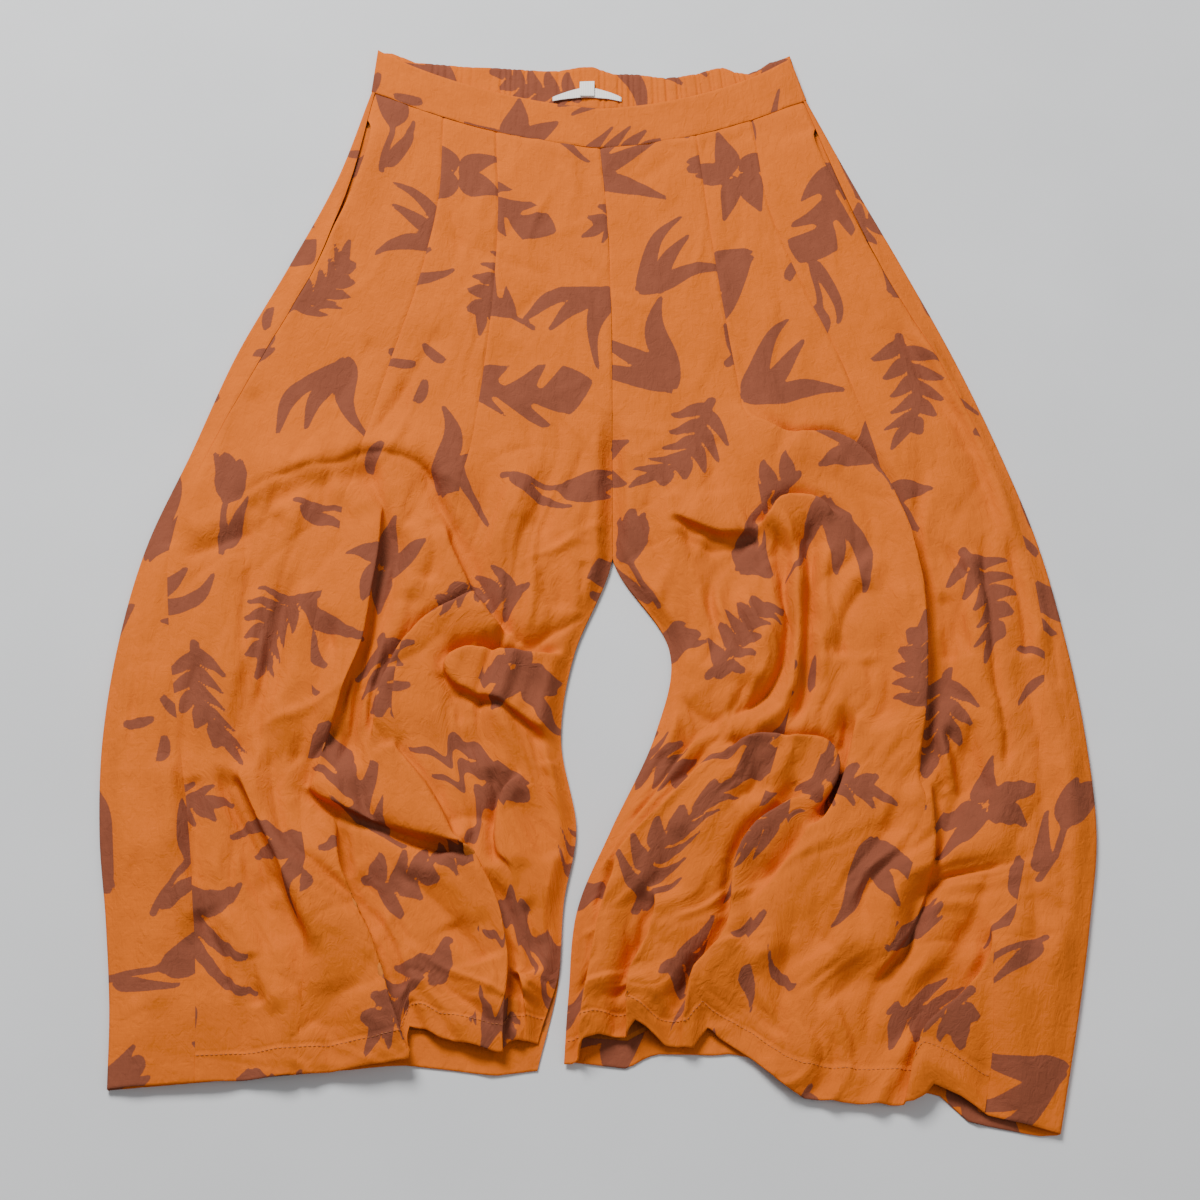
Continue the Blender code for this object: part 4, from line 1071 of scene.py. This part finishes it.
def front_band(materials, settings):
    """Shaped front band: smooth, a little puckered above the waist seam, and soft in between."""
    u = np.linspace(-1.0, 1.0, int(0.40 / settings.cell) + 1)[None, :]
    up, high = band_loop(18)
    x, y = band_plan("front", u, up, BAND_DEPTH)
    near_side = 1 - smooth((1 - np.abs(u)) / SIDE_CLOSE)
    foot = BAND_FOOT + BAND_LIFT * up - (BAND_FOOT - BACK_BAND_WALL - SEAM_GAP) * near_side
    soft = 0.0005 * wobble(x, y, 0.055, 71) * np.sin(math.pi * np.clip(up, 0, 1)) * (1 - near_side)
    pucker = 0.0004 * wobble(x, 0 * y, 0.014, 72) * np.exp(-up / 0.12) * smooth(up / 0.02)
    z = foot + BAND_WALL * high + (soft + pucker) * (1 - near_side)
    points = np.stack(np.broadcast_arrays(x, y, z), -1)
    return closed_band("waistband_front_cloth", points, materials, 301)


def back_band(materials, settings):
    """Back band with elastic inside: its face between irregular pinched gathers stands up softly."""
    u = np.linspace(-1.0, 1.0, int(0.40 / (0.55 * settings.cell)) + 1)[None, :]
    up, high = band_loop(14)
    x, y = band_plan("back", u, up, BACK_BAND_DEPTH)
    rng = np.random.default_rng(81)
    free = smooth((1 - np.abs(u)) / SIDE_CLOSE)
    pinch = np.zeros(u.shape)
    place = -0.97
    while place < 0.97:
        depth = rng.uniform(0.35, 1.0)
        pinch = np.maximum(pinch, depth * bell((u - place) / 0.0075))
        if rng.uniform() < 0.5:
            twin = place + rng.uniform(0.018, 0.026)
            pinch = np.maximum(pinch, 0.8 * depth * bell((u - twin) / 0.0070))
        place += rng.uniform(0.040, 0.095)
    full = 0.65 + 0.35 * wobble(x, 0 * y, 0.05, 82)
    rise = BAND_GATHER * free * full * (1 - pinch) * np.sin(math.pi * (0.16 + 0.68 * np.clip(up, 0, 1)))
    edge_wave = look_up(BACK_EDGE, x)
    edge_wave = (edge_wave + 0.0007 * wobble(x, 0 * y, 0.030, 83)) * smooth((up - 0.35) / 0.65)
    z = (BACK_BAND_WALL * (1 - 0.5 * pinch * free) + rise) * high
    points = np.stack(np.broadcast_arrays(x, y + edge_wave, z), -1)
    return closed_band("waistband_back_cloth", points, materials, 302)


def tape_piece(name, top_y, size, drop, foot, materials):
    """A piece of soft tape: its upper and lower edges drop towards the ends by drop * |u|^1.5."""
    u = np.linspace(-1.0, 1.0, 41)[None, :]
    up = np.linspace(0.0, 1.0, 13)[:, None]
    x = LABEL_X + 0.5 * size[0] * u + 0.0 * up
    fall = (drop[0] * up + drop[1] * (1 - up)) * np.abs(u) ** 1.5
    y = top_y - size[1] * (1 - up) - fall + 0.0005 * wobble(x, 0 * x, 0.024, 90)
    z = foot + 0.0008 + 0.0004 * wobble(x, y, 0.020, 91) * (0.3 + 0.7 * u ** 2)
    grid = np.stack([x, y, z], -1)
    piece = new_mesh(name, grid.reshape(-1, 3), grid_quads(13, 41), materials)
    thicken = piece.modifiers.new("tape", "SOLIDIFY")
    thicken.thickness = 0.0005
    thicken.offset = -1.0
    return piece


def stitch_row(name, places, along, up, material, settings):
    """Running stitches: at each place a six-sided bar that tapers into the cloth at both ends."""
    turn = np.linspace(0.0, 2 * math.pi, 7)[:-1]
    reach = np.array([-0.5, -0.36, -0.12, 0.12, 0.36, 0.5]) * settings.stitch_length
    girth = np.array([0.15, 0.8, 1.0, 1.0, 0.8, 0.15]) * settings.thread * 0.5
    lift = np.array([-0.30, 0.18, 0.42, 0.42, 0.18, -0.30]) * settings.thread
    aside = np.cross(along, up)
    ring = (np.cos(turn)[None, :, None] * aside[:, None, None, :]
            + np.sin(turn)[None, :, None] * up[:, None, None, :])
    body = (places[:, None, None, :] + reach[None, :, None, None] * along[:, None, None, :]
            + lift[None, :, None, None] * up[:, None, None, :]
            + girth[None, :, None, None] * ring)
    count = len(places)
    quads = grid_quads(6, 6, around=True)
    caps = np.array([[0, 1, 2, 3], [0, 3, 4, 5], [33, 32, 31, 30], [35, 34, 33, 30]])
    faces = np.concatenate([quads, caps])[None] + 36 * np.arange(count)[:, None, None]
    return new_mesh(name, body.reshape(-1, 3), faces.reshape(-1, 4), [material])


# ---- settings -------------------------------------------------------------------------------------
class TrousersCloth(bpy.types.PropertyGroup):
    """Sizes of the cloth and its folds."""
    cell: bpy.props.FloatProperty(
        name="Cell", description="Size of one cell of the cloth's grid", default=0.0020,
        min=0.001, unit="LENGTH")
    thickness: bpy.props.FloatProperty(
        name="Thickness", description="Thickness of one layer of cloth", default=0.00045,
        min=0.0001, unit="LENGTH")
    fold_height: bpy.props.FloatProperty(
        name="Fold height", description="Height of the large folds, as a share of the measured one",
        default=1.15, subtype="FACTOR")
    crease_height: bpy.props.FloatProperty(
        name="Crease height", description="Height of the small creases, as a share of the usual one",
        default=1.0, subtype="FACTOR")
    crumple_height: bpy.props.FloatProperty(
        name="Crumple height", description="Height of the lesser folds, as a share of the usual one",
        default=1.0, subtype="FACTOR")


class TrousersPrint(bpy.types.PropertyGroup):
    """Sizes and colours of the print."""
    motif: bpy.props.FloatProperty(
        name="Motif", description="Size of one motif", default=0.094, unit="LENGTH")
    rounding: bpy.props.FloatProperty(
        name="Rounding", description="How rounded a motif's points are", default=0.0022, unit="LENGTH")
    spacing: bpy.props.FloatProperty(
        name="Spacing", description="Distance between motifs", default=0.110, unit="LENGTH")
    ground: bpy.props.FloatVectorProperty(
        name="Ground", description="Colour of the cloth's face", default=linear("#CB641C"),
        subtype="COLOR", size=3, min=0, max=1)
    reverse_ground: bpy.props.FloatVectorProperty(
        name="Reverse", description="Colour of the cloth's reverse", default=linear("#C06A2A"),
        subtype="COLOR", size=3, min=0, max=1)
    motif_colour: bpy.props.FloatVectorProperty(
        name="Motif colour", description="Colour of the print", default=linear("#804733"),
        subtype="COLOR", size=3, min=0, max=1)


class TrousersStitching(bpy.types.PropertyGroup):
    """Sizes of the stitching."""
    stitch_length: bpy.props.FloatProperty(
        name="Stitch", description="Length of one stitch", default=0.0027, unit="LENGTH")
    pitch: bpy.props.FloatProperty(
        name="Pitch", description="Distance from stitch to stitch", default=0.0034, unit="LENGTH")
    thread: bpy.props.FloatProperty(
        name="Thread", description="Thickness of the thread", default=0.0005, unit="LENGTH")


class TrousersStage(bpy.types.PropertyGroup):
    """Light and camera of the studio."""
    key: bpy.props.FloatProperty(
        name="Key light", description="Power of the large soft light", default=228.0, unit="POWER")
    fill: bpy.props.FloatProperty(
        name="Fill light", description="Power of the fill light", default=22.0, unit="POWER")
    sky: bpy.props.FloatProperty(
        name="Sky", description="Brightness of the pale surroundings", default=0.26, subtype="FACTOR")


# ---- operators ------------------------------------------------------------------------------------
class TROUSERS_OT_front_gores(bpy.types.Operator):
    """Six front gores, three to a leg, each with its own lay of the print"""
    bl_idname = "trousers.front_gores"
    bl_label = "Front gores"

    def execute(self, context):
        settings = context.scene.trousers_cloth
        materials = cloth_materials()
        for leg in LEGS:
            for number, gore in enumerate(GORES):
                grid = turned_up(front_gore_grid(leg, gore, settings), leg.side)
                node = "front_%s_%s" % (leg.word, gore)
                seed = 100 + 10 * leg.seed + number
                piece = thin_cloth(node + "_cloth", grid, materials, settings, seed, leg.side < 0)
                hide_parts(node)
                finish_piece(piece)
        return {"FINISHED"}


class TROUSERS_OT_back_panels(bpy.types.Operator):
    """Two back panels, which come round the outer edges to the side seams"""
    bl_idname = "trousers.back_panels"
    bl_label = "Back panels"

    def execute(self, context):
        settings = context.scene.trousers_cloth
        materials = cloth_materials()
        for leg in LEGS:
            grid, middle = back_grid(leg, settings)
            grid = turned_up(grid, leg.side)
            node = "back_" + leg.word
            piece = thin_cloth(node + "_cloth", grid, materials, settings, 200 + leg.seed,
                               leg.side < 0, middle)
            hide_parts(node)
            finish_piece(piece)
        return {"FINISHED"}


class TROUSERS_OT_pocket_facings(bpy.types.Operator):
    """The facings that show in the open mouths of the side pockets"""
    bl_idname = "trousers.pocket_facings"
    bl_label = "Pocket facings"

    def execute(self, context):
        settings = context.scene.trousers_cloth
        for leg in LEGS:
            grid = pocket_facing_grid(leg)
            node = "pocket_facing_" + leg.word
            piece = thin_cloth(node + "_cloth", grid, cloth_materials(), settings, 250 + leg.seed,
                               leg.side < 0)
            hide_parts(node)
            finish_piece(piece)
        return {"FINISHED"}


class TROUSERS_OT_waistbands(bpy.types.Operator):
    """The smooth front band and the gathered back band"""
    bl_idname = "trousers.waistbands"
    bl_label = "Waistbands"

    def execute(self, context):
        settings = context.scene.trousers_cloth
        for make, node, rests_on in ((front_band, "waistband_front", ["waistband_back"]),
                                     (back_band, "waistband_back", [])):
            piece = make(cloth_materials()[:1], settings)
            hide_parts(node)
            finish_piece(piece)
        return {"FINISHED"}


class TROUSERS_OT_labels(bpy.types.Operator):
    """The bare label and the bare tab inside the back band"""
    bl_idname = "trousers.labels"
    bl_label = "Labels"

    def execute(self, context):
        tape = [tape_material()]
        label = tape_piece("label_tape", LABEL_TOP, LABEL_SIZE, LABEL_DROP, LABEL_FOOT, tape)
        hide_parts("label")
        finish_piece(label)
        tab_foot = LABEL_FOOT + LABEL_WALL + SEAM_GAP
        tab = tape_piece("size_tab_tape", TAB_TOP, TAB_SIZE, (0.0, 0.0), tab_foot, tape)
        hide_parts("size_tab")
        finish_piece(tab)
        return {"FINISHED"}


class TROUSERS_OT_stitching(bpy.types.Operator):
    """The rows of stitches that hold up the hems"""
    bl_idname = "trousers.stitching"
    bl_label = "Stitching"

    def execute(self, context):
        settings = context.scene.trousers_cloth
        sewing = context.scene.trousers_stitching
        for leg in LEGS:
            for gore in GORES:
                grid = front_gore_grid(leg, gore, settings)
                row = int(round((1 - HEM_DEPTH / LEG_LENGTH) * (grid.shape[0] - 1)))
                normal = leg.side * grid_normals(grid)
                run = arc_lengths(grid, 1, 0)[row]
                marks = np.arange(0.5 * sewing.pitch, run[-1], sewing.pitch)
                place = np.stack([np.interp(marks, run, grid[row, :, i]) for i in range(3)], -1)
                up = np.stack([np.interp(marks, run, normal[row, :, i]) for i in range(3)], -1)
                up /= np.linalg.norm(up, axis=-1, keepdims=True)
                slope = np.gradient(grid[row], axis=0)
                along = np.stack([np.interp(marks, run, slope[:, i]) for i in range(3)], -1)
                along -= up * (along * up).sum(axis=-1, keepdims=True)
                along /= np.linalg.norm(along, axis=-1, keepdims=True)
                name = "hem_stitches_%s_%s" % (leg.word, gore)
                piece = stitch_row(name, place, along, up, thread_material(), sewing)
                finish_piece(piece)
        return {"FINISHED"}


class TROUSERS_OT_studio(bpy.types.Operator):
    """A pale floor, soft light, and the camera at the photograph's angle"""
    bl_idname = "trousers.studio"
    bl_label = "Studio"

    def execute(self, context):
        stage = context.scene.trousers_stage
        mesh = bpy.data.meshes.new("studio_floor")
        corners = [(-9, -9, -0.0006), (9, -9, -0.0006), (9, 9, -0.0006), (-9, 9, -0.0006)]
        mesh.from_pydata(corners, [], [(0, 1, 2, 3)])
        mesh.materials.append(floor_material())
        floor = bpy.data.objects.new("studio_floor", mesh)
        context.scene.collection.objects.link(floor)

        world = bpy.data.worlds.new("pale_surroundings")
        world.use_nodes = True
        sky = world.node_tree.nodes["Background"]
        sky.inputs["Color"].default_value = (*linear("#F4F5F8"), 1.0)
        sky.inputs["Strength"].default_value = stage.sky
        context.scene.world = world

        for name, power, size, spot in (("key_light", stage.key, 1.6, (-1.2, 2.3, 2.6)),
                                        ("fill_light", stage.fill, 2.2, (1.6, -1.4, 2.1))):
            lamp = bpy.data.lights.new(name, "AREA")
            lamp.energy = power
            lamp.size = size
            light = bpy.data.objects.new(name, lamp)
            light.location = spot
            light.rotation_euler = aim(spot, (0.0, 0.0, 0.0))
            context.scene.collection.objects.link(light)

        camera_data = bpy.data.cameras.new("photo_camera")
        camera_data.lens = 36.0 * 2709 / 1200
        camera_data.sensor_width = 36.0
        camera_data.clip_end = 50.0
        camera = bpy.data.objects.new("photo_camera", camera_data)
        target = -CENTRE
        elevation = math.radians(60)
        camera.location = target + 2.15 * np.array([0.0, -math.cos(elevation), math.sin(elevation)])
        camera.rotation_euler = aim(tuple(camera.location), tuple(target))
        context.scene.collection.objects.link(camera)
        context.scene.camera = camera
        return {"FINISHED"}


def aim(source, target):
    """Rotation that turns a lamp's or camera's -Z from source to target, with its X level."""
    dx, dy, dz = (target[i] - source[i] for i in range(3))
    return (math.atan2(math.hypot(dx, dy), -dz), 0.0, math.atan2(-dx, dy))


class TROUSERS_PT_panel(bpy.types.Panel):
    """Lists the trousers' pieces and their settings"""
    bl_label = "Trousers"
    bl_idname = "TROUSERS_PT_panel"
    bl_space_type = "VIEW_3D"
    bl_region_type = "UI"
    bl_category = "Trousers"

    def draw(self, context):
        for group in SETTINGS:
            box = self.layout.box()
            settings = getattr(context.scene, group)
            for name in settings.__annotations__:
                box.prop(settings, name)
        for operator in OPERATORS:
            self.layout.operator(operator.bl_idname)


OPERATORS = (
    TROUSERS_OT_studio,
    TROUSERS_OT_back_panels,
    TROUSERS_OT_front_gores,
    TROUSERS_OT_pocket_facings,
    TROUSERS_OT_waistbands,
    TROUSERS_OT_labels,
    TROUSERS_OT_stitching,
)
SETTINGS = {
    "trousers_cloth": TrousersCloth,
    "trousers_print": TrousersPrint,
    "trousers_stitching": TrousersStitching,
    "trousers_stage": TrousersStage,
}


def register():
    for kind in (*SETTINGS.values(), *OPERATORS, TROUSERS_PT_panel):
        bpy.utils.register_class(kind)
    for name, kind in SETTINGS.items():
        setattr(bpy.types.Scene, name, bpy.props.PointerProperty(type=kind))


def unregister():
    for name in SETTINGS:
        delattr(bpy.types.Scene, name)
    for kind in reversed((*SETTINGS.values(), *OPERATORS, TROUSERS_PT_panel)):
        bpy.utils.unregister_class(kind)


def main():
    """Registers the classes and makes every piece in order."""
    register()
    bpy.ops.trousers.studio()
    bpy.ops.trousers.back_panels()
    bpy.ops.trousers.front_gores()
    bpy.ops.trousers.pocket_facings()
    bpy.ops.trousers.waistbands()
    bpy.ops.trousers.labels()
    bpy.ops.trousers.stitching()


if __name__ == "__main__":
    main()
